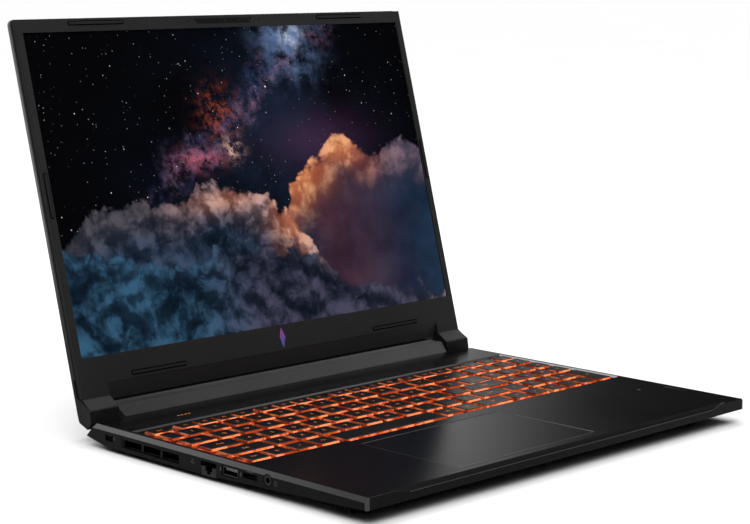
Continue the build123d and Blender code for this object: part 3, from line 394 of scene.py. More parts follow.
def brushed(name, dark, light, rough, direction=(1, 60, 60), grain=700):
    """Drawn or plated metal: streaks along one axis."""
    s = Shade(name, Metallic=1.0)
    stretched = s.add("VectorMath", {0: s.place(), 1: direction}, operation="MULTIPLY")
    streak = s.noise(grain, 4, 0.6, at=stretched)
    cloud = s.noise(60, 3)
    s.set(Base_Color=s.mix(s.ramp(s.share(streak, 0.6, cloud), 0.3, 0.7), dark, light))
    s.set(Roughness=s.ramp(streak, 0.2, 0.8, rough - 0.08, rough + 0.1))
    s.set(Normal=s.bump(streak, 0.000008))
    return s.material


def board_green():
    """Circuit board: solder resist with faint tracks."""
    s = Shade("circuit_board")
    cells = s.add("TexVoronoi", {"Vector": s.place(), "Scale": 420.0}, out="Distance",
                  feature="DISTANCE_TO_EDGE")
    track = s.fall(cells, 0.02, 0.06)
    cloud = s.noise(50, 3)
    resist = s.mix(cloud, (0.004, 0.018, 0.011), (0.008, 0.032, 0.02))
    s.set(Base_Color=s.mix(s.times(track, 0.5), resist, (0.02, 0.07, 0.04)))
    s.set(Roughness=s.ramp(cloud, 0.2, 0.8, 0.25, 0.4), Normal=s.bump(track, 0.00003))
    return s.material


def label_foil(name, dark, light):
    """Printed foil over a cell or a chip."""
    s = Shade(name)
    cloud = s.noise(35, 4)
    ripple = s.noise(300, 2)
    s.set(Base_Color=s.mix(s.ramp(cloud, 0.3, 0.7), dark, light))
    s.set(Roughness=s.ramp(ripple, 0.2, 0.8, 0.3, 0.5), Normal=s.bump(ripple, 0.00004))
    return s.material


GLOW = (1.0, 0.105, 0.014)          # the keyboard's back light
GLOW_HOT = (1.0, 0.235, 0.085)      # and where it is strongest


def lit_plate():
    """Key plate under the caps: dark metal washed with the orange back light."""
    s = Shade("lit_key_plate", Roughness=0.5)
    x, y = s.split(s.place())[:2]
    edge_x = s.fall(s.size(x), 166 * MM, 169 * MM)
    rear = s.ramp(y, behind(208.5), behind(212.5), 1.0, 0.03)
    front = s.ramp(y, behind(102.5), behind(105), 0.25, 1.0)
    patches = s.ramp(s.noise(150, 3, 0.65), 0.44, 0.62, 0.03, 0.8)
    power = s.times(s.times(edge_x, rear), s.times(front, patches))
    s.set(Base_Color=s.mix(patches, (0.02, 0.016, 0.014), (0.06, 0.045, 0.04)))
    s.set(Emission_Color=s.mix(patches, (1.0, 0.060, 0.004), (1.0, 0.125, 0.015)))
    s.set(Emission_Strength=s.times(power, 0.75))
    return s.material


def keycap_plastic():
    """Dark cap with a fine grain; its translucent skirt carries the back light as a painted glow,
    stronger on faces turned to the front and back.
    """
    s = Shade("keycap_plastic", Specular_IOR_Level=0.08)
    z = s.split(s.place())[2]
    fine = s.noise(9000, 2, 0.6)
    slow = s.noise(60, 3)
    height = s.ramp(z, level(-1), level(0.42), smooth=False)
    ragged = s.ramp(s.noise(420, 2), 0.3, 0.7, -0.06, 0.06)
    skirt = s.fall(s.plus(height, ragged), 0.74, 0.84)
    s.set(Base_Color=s.mix(slow, (0.0022, 0.0022, 0.0024), (0.0040, 0.0039, 0.0041)))
    s.set(Roughness=s.ramp(slow, 0.2, 0.8, 0.26, 0.36), Normal=s.bump(fine, 0.000012))
    patches = s.ramp(s.noise(105, 3, 0.6), 0.40, 0.60)
    s.set(Emission_Color=s.mix(patches, GLOW, GLOW_HOT))
    # painted light: skirts glow more on faces turned to the front and back than on those turned to
    # the sides
    glow_by_side = s.split(s.add("TexCoord", out="Normal"))[1]
    glow_by_side = s.ramp(s.size(glow_by_side), 0.2, 0.75, 0.30, 1.0)
    power = s.times(glow_by_side, s.ramp(patches, 0.0, 1.0, 0.50, 1.50))
    s.set(Emission_Strength=s.times(skirt, power))
    return s.material


def glowing(name, color, strength):
    """Back-lit or printed mark with a slightly uneven light."""
    s = Shade(name, Roughness=0.45)
    uneven = s.ramp(s.noise(260, 2), 0.3, 0.7, 0.6, 1.0)
    s.set(Base_Color=s.mix(uneven, tuple(c * 0.3 for c in color), tuple(c * 0.5 for c in color)))
    s.set(Emission_Color=s.mix(uneven, tuple(c * 0.8 for c in color), color))
    s.set(Emission_Strength=s.times(uneven, strength))
    return s.material


# ---------------------------------------------------------------- the picture on the display
def picture():
    """A generic sky of stars and lit clouds, painted from noise over the lit area."""
    s = Shade("display_picture", Base_Color=(0.0008, 0.0008, 0.0009), Roughness=0.36,
              Specular_IOR_Level=0.05)
    u = s.plus(s.ratio(s.along(s.place(), (1, 0, 0)), LIT_W), 0.5)
    t = s.ratio(s.along(s.place(), UP_SCREEN, LIT_FOOT), LIT_H)
    flat = s.add("CombineXYZ", {0: s.times(u, 1.6), 1: t, 2: 0.0})

    def shifted(dx, dy, dz=0.0):
        return s.add("VectorMath", {0: flat, 1: (dx, dy, dz)}, operation="ADD")

    def spot(cx, cy, rx, ry, power=1.0):
        """Soft blob round a point of the screen, 1 at its middle."""
        dx = s.ratio(s.minus(u, cx), rx)
        dy = s.ratio(s.minus(t, cy), ry)
        square = s.plus(s.times(dx, dx), s.times(dy, dy))
        return s.times(s.math("EXPONENT", s.times(square, -1.0)), power)

    def curve(points):
        """Height of a line given by (u, t) points."""
        node = s.tree.nodes.new("ShaderNodeFloatCurve")
        line = node.mapping.curves[0]
        line.points[0].location = points[0]
        line.points[1].location = points[-1]
        for point in points[1:-1]:
            line.points.new(*point)
        node.mapping.update()
        s.put(node.inputs["Value"], u)
        return node.outputs[0]

    def puffs(scale, at, seed):
        """Billows: rounded cells over soft noise."""
        warp = s.noise(scale * 0.9, 3, 0.55, at=at, out="Color")
        moved = s.add("VectorMath", {0: at, 1: s.add("VectorMath", {0: warp, 1: (0.10, 0.10, 0.0)},
                                                     operation="MULTIPLY")}, operation="ADD")
        shift = s.add("VectorMath", {0: moved, 1: (0, 0, seed)}, operation="ADD")
        cells = s.add("TexVoronoi", {"Vector": shift, "Scale": scale, "Detail": 3.5,
                                     "Roughness": 0.55, "Lacunarity": 2.1, "Smoothness": 0.35},
                      out="Distance", feature="SMOOTH_F1", normalize=True)
        soft = s.noise(scale * 0.6, 6, 0.6, at=shift)
        return s.share(s.minus(1.0, cells), 0.76, soft)

    def bank(points, scale, light, seed, ragged=0.16, edge=0.035):
        """One bank of clouds under a line: (mask, light on its billows, depth below the line)."""
        body = puffs(scale, flat, seed)
        toward = puffs(scale, shifted(*light), seed)
        below = s.minus(curve(points), t)
        depth = s.plus(below, s.times(s.minus(body, 0.62), ragged * 2))
        mask = s.ramp(depth, -edge, edge)
        lit = s.ramp(s.minus(body, toward), -0.07, 0.09, 0.22, 1.0)
        crest = s.ramp(body, 0.53, 0.76, 0.05, 1.0)
        return mask, s.times(lit, crest), below

    # sky
    haze = s.noise(2.2, 5, 0.6, at=flat)
    sky = s.mix(s.times(spot(0.56, 0.58, 0.26, 0.30), s.ramp(haze, 0.3, 0.7)),
                (0.0, 0.0, 0.0004), (0.007, 0.016, 0.036))
    # dust lane: an arc from the top down to the left
    lane = s.minus(t, curve([(0.0, 0.10), (0.2, 0.40), (0.34, 0.56), (0.46, 0.66), (0.56, 0.80),
                                        (0.66, 0.93), (0.78, 1.0), (1.0, 1.0)]))
    lane = s.plus(lane, s.times(s.minus(s.noise(5.5, 6, 0.65, at=flat), 0.5), 0.34))
    lane = s.fall(s.size(lane), 0.0, 0.105)
    reach = s.times(s.ramp(u, 0.16, 0.36), s.fall(u, 0.70, 0.84))
    grain = s.ramp(s.noise(26, 8, 0.75, at=flat), 0.40, 0.72)
    dust = s.times(s.times(lane, reach), grain)
    sky = s.mix(dust, sky, s.mix(s.ramp(s.noise(9, 4, 0.6, at=shifted(3, 1)), 0.4, 0.62),
                                 (0.035, 0.050, 0.13), (0.20, 0.11, 0.20)))
    ember = s.times(spot(0.445, 0.715, 0.045, 0.075),
                    s.ramp(s.noise(24, 8, 0.8, at=shifted(1, 5)), 0.46, 0.64))
    sky = s.mix(s.times(ember, 0.85), sky, (0.42, 0.075, 0.03))
    white = s.times(spot(0.462, 0.595, 0.024, 0.036),
                    s.ramp(s.noise(30, 7, 0.75, at=shifted(2, 2)), 0.44, 0.66))
    sky = s.mix(white, sky, (0.80, 0.50, 0.42))
    rose = s.times(spot(0.375, 0.57, 0.05, 0.035),
                   s.ramp(s.noise(22, 7, 0.75, at=shifted(4, 2)), 0.40, 0.62))
    sky = s.mix(s.times(rose, 0.8), sky, (0.50, 0.13, 0.20))
    top_light = s.times(spot(0.665, 0.95, 0.07, 0.12),
                        s.ramp(s.noise(11, 7, 0.68, at=shifted(6, 1)), 0.38, 0.72))
    sky = s.mix(top_light, sky, (0.17, 0.26, 0.50))
    core = s.times(spot(0.675, 0.965, 0.028, 0.035),
                   s.ramp(s.noise(24, 7, 0.7, at=shifted(7, 1)), 0.40, 0.68))
    sky = s.mix(core, sky, (0.62, 0.70, 0.88))
    # stars of three sizes
    for scale, size, power in ((70, 0.085, 0.55), (36, 0.062, 0.9), (15, 0.038, 1.6)):
        cell = s.tree.nodes.new("ShaderNodeTexVoronoi")
        s.put(cell.inputs["Vector"], flat)
        s.put(cell.inputs["Scale"], float(scale))
        red, green = s.split(cell.outputs["Color"])[:2]
        keep = s.ramp(red, 0.55, 1.0)
        star = s.times(s.fall(cell.outputs["Distance"], size * 0.4, size * 1.7), keep)
        tint = s.mix(green, (0.65, 0.80, 1.0), (1.0, 0.85, 0.70))
        sky = s.mix(s.times(star, power), sky, s.mix(0.85, (1, 1, 1), tint), kind="ADD")

    glow = s.math("MAXIMUM", spot(0.640, 0.47, 0.075, 0.10), spot(0.755, 0.565, 0.055, 0.050, 0.95))
    glow_left = s.math("MAXIMUM", spot(0.595, 0.36, 0.055, 0.13),
                       spot(0.43, 0.43, 0.10, 0.035, 0.45))
    color = sky
    # purple haze over the right-hand bank
    color = s.mix(spot(0.70, 0.60, 0.13, 0.09, 0.6), color, (0.055, 0.022, 0.060))
    # far right bank, lit from the left
    mask, lit, below = bank([(0.0, 0.0), (0.54, 0.28), (0.60, 0.42), (0.645, 0.495), (0.70, 0.525),
                             (0.755, 0.595), (0.80, 0.550), (0.87, 0.545), (0.935, 0.570),
                             (1.0, 0.535)], 8.5, (-0.022, 0.034), 1.7, ragged=0.15, edge=0.010)
    fade = s.ramp(below, 0.0, 0.17)
    high = s.mix(fade, s.mix(s.ramp(u, 0.80, 0.93), (0.62, 0.24, 0.15), (0.23, 0.15, 0.19)),
                 (0.060, 0.050, 0.085))
    low = s.mix(fade, s.mix(s.ramp(u, 0.80, 0.93), (0.10, 0.025, 0.030), (0.030, 0.030, 0.055)),
                (0.011, 0.014, 0.032))
    far = s.mix(lit, low, high)
    far = s.mix(s.times(glow, 0.9), far, s.mix(lit, (0.42, 0.085, 0.03), (1.0, 0.50, 0.22)))
    color = s.mix(mask, color, far)
    # smoke on the lower right, nearly without edges
    smoke = s.times(s.ramp(t, 0.52, 0.36), s.ramp(u, 0.60, 0.70))
    murk = s.noise(2.6, 5, 0.55, at=shifted(5, 3))
    tint = s.mix(s.ramp(murk, 0.35, 0.65),
                 s.mix(s.ramp(u, 0.68, 0.98), (0.030, 0.011, 0.022), (0.004, 0.013, 0.032)),
                 s.mix(s.ramp(u, 0.68, 0.98), (0.080, 0.032, 0.050), (0.014, 0.036, 0.074)))
    color = s.mix(s.times(smoke, 0.9), color, tint)
    # left bank
    mask, lit, below = bank([(0.0, 0.32), (0.07, 0.39), (0.17, 0.425), (0.30, 0.43), (0.395, 0.475),
                             (0.46, 0.435), (0.54, 0.39), (0.62, 0.26), (0.74, 0.06), (1.0, 0.0)],
                            10.0, (0.020, 0.030), 4.4, ragged=0.15, edge=0.010)
    fade = s.ramp(below, 0.0, 0.15)
    high = s.mix(fade, s.mix(s.ramp(u, 0.16, 0.44), (0.085, 0.075, 0.090), (0.42, 0.28, 0.30)),
                 (0.042, 0.066, 0.118))
    low = s.mix(fade, (0.006, 0.010, 0.020), (0.0016, 0.0055, 0.013))
    left = s.mix(lit, low, high)
    left = s.mix(glow_left, left, s.mix(lit, (0.32, 0.075, 0.035), (1.0, 0.50, 0.30)))
    color = s.mix(mask, color, left)
    # near bank along the bottom
    mask, lit, below = bank([(0.0, 0.30), (0.12, 0.25), (0.26, 0.20), (0.40, 0.27), (0.50, 0.24),
                             (0.58, 0.23), (0.68, 0.14), (0.80, 0.05), (1.0, 0.0)], 9.0,
                            (0.012, 0.038), 8.9, ragged=0.20, edge=0.02)
    high = s.mix(s.ramp(u, 0.25, 0.5), (0.034, 0.100, 0.178), (0.062, 0.060, 0.104))
    near = s.mix(lit, (0.0012, 0.0045, 0.0105), high)
    color = s.mix(mask, color, near)
    s.set(Emission_Color=color, Emission_Strength=1.0)
    return s.material


# ---------------------------------------------------------------- materials by node
def dress_all():
    """A material for every CAD node, and rounded edges on the five large shells."""
    coating = deck_coating()
    base = moulded("base_plastic", (0.0055, 0.0055, 0.0057), (0.0085, 0.0085, 0.0088), 0.5,
                   specular=0.2)
    bar = bar_plastic()
    bezel = bezel_plastic()
    lid = lid_coating()
    rubber = moulded("rubber", (0.010, 0.010, 0.010), (0.016, 0.016, 0.016), 0.75, grain=3000,
                     depth=0.00005, specular=0.2)
    black = moulded("black_plastic", (0.003, 0.003, 0.0032), (0.006, 0.006, 0.0065), 0.5,
                    specular=0.2)
    glass = moulded("touch_glass", (0.0024, 0.0024, 0.0026), (0.0038, 0.0038, 0.0040), 0.21,
                    grain=12000, depth=0.000006, spread=0.02, specular=0.06)
    steel = brushed("plated_steel", (0.05, 0.05, 0.052), (0.11, 0.11, 0.115), 0.35, grain=300)
    hinge = brushed("hinge_steel", (0.12, 0.12, 0.125), (0.26, 0.26, 0.27), 0.36)
    black_steel = brushed("black_steel", (0.012, 0.012, 0.012), (0.03, 0.03, 0.03), 0.4)
    copper = brushed("copper", (0.42, 0.17, 0.09), (0.62, 0.28, 0.16), 0.3)
    fins = brushed("black_fins", (0.004, 0.0038, 0.0036), (0.012, 0.011, 0.010), 0.45, grain=300)
    guide = glowing("light_guide", GLOW, 0.03)
    wrap = label_foil("battery_wrap", (0.006, 0.006, 0.007), (0.014, 0.014, 0.016))
    chip = label_foil("chip_lid", (0.02, 0.02, 0.022), (0.05, 0.05, 0.055))
    groups = {
        coating: ["top_deck"],
        base: ["bottom_cover", "rj45_jaw"],
        bar: ["exhaust_bar"],
        bezel: ["screen_bezel"],
        lid: ["lid_back_cover"],
        rubber: ["rubber_feet", "lid_bumpers"],
        glass: ["touchpad"],
        black: ["rj45_jack", "card_reader", "audio_jack", "dc_power_jack", "fan_housing_left",
                "fan_housing_right", "fan_impeller_left", "fan_impeller_right", "speakers"],
        steel: ["usb_a_port_left", "usb_a_ports_right", "usb_c_port", "hdmi_port"],
        hinge: ["hinge_bracket_left", "hinge_bracket_right", "hinge_shaft_left",
                "hinge_shaft_right", "hinge_arm_left", "hinge_arm_right", "lock_slot"],
        black_steel: ["bottom_screws"],
        copper: ["heat_pipes", "cold_plate"],
        fins: ["rear_fins", "side_fins"],
        guide: ["backlight_sheet"],
        lit_plate(): ["keyboard_plate"],
        picture(): ["lcd_panel"],
        board_green(): ["motherboard", "solid_state_drive", "memory_modules", "wireless_card"],
        wrap: ["battery"],
        chip: ["processor_chips", "webcam_module"],
    }
    for material, nodes in groups.items():
        for node in nodes:
            dress(node, material)
    for node, width in (("top_deck", 0.25), ("exhaust_bar", 0.5), ("screen_bezel", 0.3),
                        ("lid_back_cover", 0.35), ("bottom_cover", 0.5)):
        soften(node, width * MM)


# ---------------------------------------------------------------- keycaps
def islands(obj):
    """Boxes (x0, x1, y0, y1, z0, z1) of the separate solids in a node's mesh."""
    mesh = bmesh.new()
    mesh.from_mesh(obj.data)
    bmesh.ops.remove_doubles(mesh, verts=mesh.verts, dist=0.000002)
    left = set(mesh.verts)
    boxes = []
    while left:
        stack = [left.pop()]
        found = list(stack)
        while stack:
            for edge in stack.pop().link_edges:
                for vert in edge.verts:
                    if vert in left:
                        left.remove(vert)
                        stack.append(vert)
                        found.append(vert)
        spans = []
        for axis in range(3):
            values = [v.co[axis] for v in found]
            spans += [min(values), max(values)]
        boxes.append(tuple(spans))
    mesh.free()
    return sorted(boxes, key=lambda b: (-round(b[3], 4), b[0]))


def ring_points(x0, x1, y0, y1, radius, z, steps=5):
    """Rounded rectangle as a list of points, anticlockwise."""
    points = []
    corners = ((x1 - radius, y1 - radius, 0), (x0 + radius, y1 - radius, 90),
               (x0 + radius, y0 + radius, 180), (x1 - radius, y0 + radius, 270))
    for cx, cy, start in corners:
        for n in range(steps + 1):
            angle = math.radians(start + 90 * n / steps)
            points.append(Vector((cx + radius * math.cos(angle), cy + radius * math.sin(angle), z)))
    return points


def add_cap(mesh, box):
    """One keycap: skirt, rounded shoulder and a shallow dished top."""
    x0, x1, y0, y1, z0, z1 = box
    # each level: distance in from the foot, corner radius (both in millimetres), height
    levels = [(0.0, 1.0, z0), (0.38, 1.05, (z0 + z1) / 2), (0.66, 1.1, z1 - 0.26 * MM),
              (0.80, 1.15, z1 - 0.09 * MM), (1.02, 1.1, z1), (1.6, 0.9, z1 - 0.03 * MM),
              (3.0, 0.6, z1 - 0.11 * MM), (4.4, 0.3, z1 - 0.15 * MM)]
    rings = []
    for inwards, radius, z in levels:
        d = inwards * MM
        d = min(d, (x1 - x0) / 2 - 0.4 * MM, (y1 - y0) / 2 - 0.4 * MM)
        r = min(radius * MM, (x1 - x0) / 2 - d - 0.05 * MM, (y1 - y0) / 2 - d - 0.05 * MM)
        rings.append([mesh.verts.new(p) for p in ring_points(x0 + d, x1 - d, y0 + d, y1 - d, r, z)])
    count = len(rings[0])
    for low, high in zip(rings, rings[1:]):
        for n in range(count):
            face = mesh.faces.new((low[n], low[(n + 1) % count], high[(n + 1) % count], high[n]))
            face.smooth = True
    top = mesh.faces.new(rings[-1])
    top.smooth = True
    mesh.faces.new(list(reversed(rings[0])))


def text_mesh(text, size):
    """Flat mesh of a short legend, centred on the origin."""
    curve = bpy.data.curves.new("legend", "FONT")
    curve.body = text
    curve.size = size
    curve.align_x = "CENTER"
    curve.align_y = "CENTER"
    curve.resolution_u = 2
    holder = bpy.data.objects.new("legend", curve)
    bpy.context.scene.collection.objects.link(holder)
    bpy.context.view_layer.update()
    graph = bpy.context.evaluated_depsgraph_get()
    mesh = bpy.data.meshes.new_from_object(holder.evaluated_get(graph))
    bpy.data.objects.remove(holder)
    bpy.data.curves.remove(curve)
    return mesh


LETTER = 3.9                # size of a one-letter legend in millimetres
WORD = 2.9                  # and of a longer one
LEGEND_DEEP = 0.10          # below the cap's rim, just over its dished top
LEGENDS = {
    "function_keys": ("Esc F1 F2 F3 F4 F5 F6 F7 F8 F9 F10 F11 F12 "
                      "Ins Del Prt Num << >> ||").split(),
    "power_key": ["|"],
    "number_row_keys": list("`1234567890-="),
    "backspace_key": ["<--"],
    "upper_row_keys": ["Tab"] + list("QWERTYUIOP[]") + ["\\"],
    "home_row_keys": ["Caps"] + list("ASDFGHJKL;'"),
    "enter_key": ["Enter"],
    "left_shift_key": ["Shift"],
    "lower_row_keys": list("ZXCVBNM,./"),
    "right_shift_key": ["Shift"],
    "bottom_row_keys": ["Ctrl", "Fn", "*", "Alt", "Alt", "=", "Ctrl"],
    "space_bar": [""],
    "arrow_keys": ["^", "<", "v", ">"],
    "number_pad_keys": ["/", "*", "-", "7", "8", "9", "+", "4", "5", "6", "Bk",
                        "1", "2", "3", "En", "0", "."],
}


def build_keys():
    """Caps and legends for every row of keys; the caps stand for the CAD keys."""
    plastic = keycap_plastic()
    legend_light = glowing("legend_light", (1.0, 0.20, 0.025), 0.62)
    for node, legends in LEGENDS.items():
        boxes = islands(NODES[node])
        mesh = bmesh.new()
        for box in boxes:
            add_cap(mesh, box)
        data = bpy.data.meshes.new(node + "_caps")
        mesh.to_mesh(data)
        mesh.free()
        caps = new_piece(node + "_caps", data, node, plastic)
        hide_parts(node)
        marks = bmesh.new()
        for box, text in zip(boxes, legends):
            if not text:
                continue
            size = (LETTER if len(text) == 1 else WORD) * MM
            flat = text_mesh(text, size)
            x0, x1, y0, y1, z0, z1 = box
            place = Matrix.Translation(((x0 + x1) / 2, (y0 + y1) / 2, z1 - LEGEND_DEEP * MM))
            flat.transform(place)
            marks.from_mesh(flat)
            bpy.data.meshes.remove(flat)
        if marks.verts:
            data = bpy.data.meshes.new(node + "_legends")
            marks.to_mesh(data)
            new_piece(node + "_legends", data, node, legend_light)
        marks.free()


# ---------------------------------------------------------------- small moulded and printed details, and plates of painted shade and highlight
def flat_solid(mesh, rings, sink, rise, place):
    """Adds a thin plate: rings[0] is its outline and rings[1], if given, a hole of as many
    points; place(x, y, z) turns millimetres into a point."""
    low = [[mesh.verts.new(place(x, y, -sink)) for x, y in ring] for ring in rings]
    high = [[mesh.verts.new(place(x, y, rise)) for x, y in ring] for ring in rings]
    count = len(rings[0])
    for n in range(count):
        m = (n + 1) % count
        mesh.faces.new((low[0][n], low[0][m], high[0][m], high[0][n]))
        if len(rings) > 1:
            mesh.faces.new((low[1][m], low[1][n], high[1][n], high[1][m]))
            mesh.faces.new((high[0][n], high[0][m], high[1][m], high[1][n]))
            mesh.faces.new((low[0][m], low[0][n], low[1][n], low[1][m]))
    if len(rings) == 1:
        mesh.faces.new(high[0])
        mesh.faces.new(list(reversed(low[0])))


def plates(name, shapes, place, body, material, rise=0.06, sink=0.04):
    """One piece made of thin plates; a shape is a list of one or two rings."""
    mesh = bmesh.new()
    for rings in shapes:
        flat_solid(mesh, rings, sink, rise, place)
    bmesh.ops.recalc_face_normals(mesh, faces=mesh.faces)
    data = bpy.data.meshes.new(name)
    mesh.to_mesh(data)
    mesh.free()
    return new_piece(name, data, body, material)


def rounded(x, y, width, height, radius, steps=4):
    """Rounded rectangle about (x, y) as (x, y) points in millimetres."""
    points = ring_points(x - width / 2, x + width / 2, y - height / 2, y + height / 2, radius, 0,
                         steps)
    return [(p.x, p.y) for p in points]


def circle(x, y, radius, count=20):
    return [(x + radius * math.cos(2 * math.pi * n / count),
             y + radius * math.sin(2 * math.pi * n / count)) for n in range(count)]


def emblem_material():
    """Plain emblem, violet at its top and blue at its foot, with a faint painted glow."""
    s = Shade("emblem", Metallic=0.6)
    up = s.along(s.place(), UP_SCREEN, on_lid(0, -16))
    fine = s.noise(2500, 2)
    tone = s.mix(s.ramp(up, 0.0, 0.014), (0.03, 0.10, 0.45), (0.42, 0.05, 0.40))
    s.set(Base_Color=s.mix(s.times(fine, 0.3), tone, (0.6, 0.6, 0.7)))
    # painted light: the emblem glows faintly in its own colours
    s.set(Emission_Color=tone, Emission_Strength=0.2)
    s.set(Roughness=s.ramp(fine, 0.3, 0.7, 0.25, 0.4), Normal=s.bump(fine, 0.00001))
    return s.material


def build_lid_details(gloss, black, trim):
    """Camera strip and emblem, with microphone holes and bumper outlines in painted shade, on the
    bezel.
    """
    plates("camera_bar", [[[(-24.5, 218.3), (23.0, 218.3), (26.5, 222.0), (-28.0, 222.0)]]], on_lid,
           "lid", gloss)
    plates("camera_lens",
           [[circle(1.0, 220.4, 1.1), circle(1.0, 220.4, 0.8)]] + [[circle(u, 220.4, 0.55)]
                                                                   for u in (13.5, 22.7, 1.0)],
           on_lid, "lid", trim, rise=0.10)
    # painted shade: the microphone holes are near-black plates
    plates("microphone_holes", [[circle(u, 220.5, 0.5, 12)] for u in (-32.8, 32.8)], on_lid, "lid",
           black)
    plates("chin_emblem",
           [[[(-0.1, -2.0), (-2.6, -8.2), (-1.1, -15.7), (0.0, -15.7), (2.5, -8.8)]]], on_lid,
           "lid", emblem_material(), rise=0.10)
    # painted shade: near-black outlines in the grooves round the bumpers
    outlines = []
    for u, v, width, height in ((112.5, 221.0, 45, 1.7), (175.0, 107.5, 1.7, 29),
                                (111.7, -14.6, 46, 1.7)):
        for side in (-1, 1):
            outlines.append([rounded(side * u, v, width + 1.5, height + 1.5, 1.3),
                             rounded(side * u, v, width, height, 0.75)])
    plates("bumper_grooves", outlines, on_lid, "lid", black)


def build_lid_back(material):
    """Plain slanted mark and two moulded lines on the lid's outer face."""
    mark = [[[(-0.2, 118.0), (-6.5, 101.0), (-2.8, 82.0), (0.0, 82.0), (6.2, 99.5)]]]
    plates("lid_mark", mark, on_back, "lid", material, rise=0.08)
    lines = [[[(side * u, v) for u, v in ((52.0, 200.0), (53.2, 200.0), (76.2, 30.0),
                                          (75.0, 30.0))]] for side in (-1, 1)]
    plates("lid_lines", lines, on_back, "lid", material, rise=0.05)


def build_touchpad_edge(material):
    """Diamond-cut chamfer round the touchpad's opening, in the gap beside the pad."""
    low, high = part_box("touchpad")
    middle_x = (low[0] + high[0]) / 2 / MM
    middle_y = ((low[1] + high[1]) / 2 - FRONT_Y) / MM
    width = (high[0] - low[0]) / MM
    depth = (high[1] - low[1]) / MM
    rings = []
    for grow, z in ((1.15, 0.02), (1.0, 0.05), (0.5, -0.28), (0.5, -0.8), (1.15, -0.8)):
        outline = rounded(middle_x, middle_y, width + grow, depth + grow, 1.5)
        rings.append([deck(x, y, z) for x, y in outline])
    mesh = bmesh.new()
    loops = [[mesh.verts.new(point) for point in ring] for ring in rings]
    count = len(loops[0])
    for a, b in zip(loops, loops[1:] + loops[:1]):
        for n in range(count):
            m = (n + 1) % count
            mesh.faces.new((a[n], a[m], b[m], b[n]))
    bmesh.ops.recalc_face_normals(mesh, faces=mesh.faces)
    data = bpy.data.meshes.new("touchpad_edge")
    mesh.to_mesh(data)
    mesh.free()
    new_piece("touchpad_edge", data, "base", material)


def build_base_details(black, etched, faint, light, bar_shadow):
    """Marks on the base, with frames, comb teeth and a bar cover of painted shade and a line of
    painted highlight; the numbers are places and sizes in millimetres.
    """
    blades = [[[(148.6, 67.9), (164.1, 44.5), (153.6, 28.4), (150.2, 52.8)]],
              [[(169.9, 60.0), (169.8, 26.1), (160.3, 10.2), (161.2, 39.8)]]]
    plates("palm_rest_mark", blades, deck, "base", etched, rise=0.06)
    lamps = [[rounded(x, 228.6, 2.1, 0.9, 0.35)] for x in (-126.2, -123.2, -120.2, -117.2)]
    plates("status_lights", lamps, deck, "base", light, rise=0.02)
    # plain blocks in place of the text beside the ports: place, length, height and corner radius
    blocks = ((150.0, -7.4, 1.2, 0.9, 0.2), (151.6, -7.4, 1.2, 0.9, 0.2),
              (150.8, -5.9, 1.2, 0.9, 0.2), (124.6, -6.6, 1.0, 2.4, 0.3),
              (106.2, -6.6, 1.0, 2.4, 0.3), (98.0, -3.6, 6.0, 0.6, 0.2))
    icons = [[rounded(*block, steps=2)] for block in blocks]
    icons += [[circle(75.5, -6.4, 1.5), circle(75.5, -6.4, 1.0)]]
    icons += [[rounded(228.6, -6.9, 1.5, 1.3, 0.3, 2)],
              [circle(228.6, -5.8, 0.7, 12), circle(228.6, -5.8, 0.4, 12)]]
    plates("port_symbols", icons, on_side, "base", faint, rise=0.015)
    # painted highlight: a pale line along the grip recess's lower edge
    edge = [[(-144.5, -2.75), (144.5, -2.75), (145.0, -2.30), (-145.0, -2.30)]]
    plates("grip_edge_highlight", [edge], on_front, "base", faint, rise=0.02)
    # painted shade: near-black frames round the port openings
    openings = ((115.9, -7.0, 14.2, 5.4), (98.0, -6.3, 11.8, 2.6), (233.6, -7.0, 7.2, 3.0))
    frames = [[rounded(y, z, wide + 1.3, high + 1.1, 0.5, 2), rounded(y, z, wide, high, 0.3, 2)]
              for y, z, wide, high in openings]
    frames += [[circle(82.4, -5.6, 3.8), circle(82.4, -5.6, 3.1)]]
    plates("port_opening_shade", frames, on_side, "base", black, rise=0.02)
    # painted shade: the comb's teeth under the grille are near-black
    teeth = [[[(y, -8.2), (y + 1.3, -8.2), (y + 1.3, -10.4), (y, -10.4)]]
             for y in (14.5 + 2.75 * n for n in range(10))]
    plates("speaker_comb", teeth, on_grille, "base", black, rise=0.6, sink=0.6)
    # painted shadow: a near-black sheet over the bar's flat top, under the lid
    plates("bar_shadow_sheet", [[rounded(0, 274.2, 306.0, 9.0, 0.4)]], on_bar, "base", bar_shadow,
           rise=0.02)
    # painted shade: the microphone slot is a near-black plate
    plates("microphone_slot", [[rounded(120.0, -5.0, 1.1, 0.7, 0.3)]], on_front, "base",
           black)


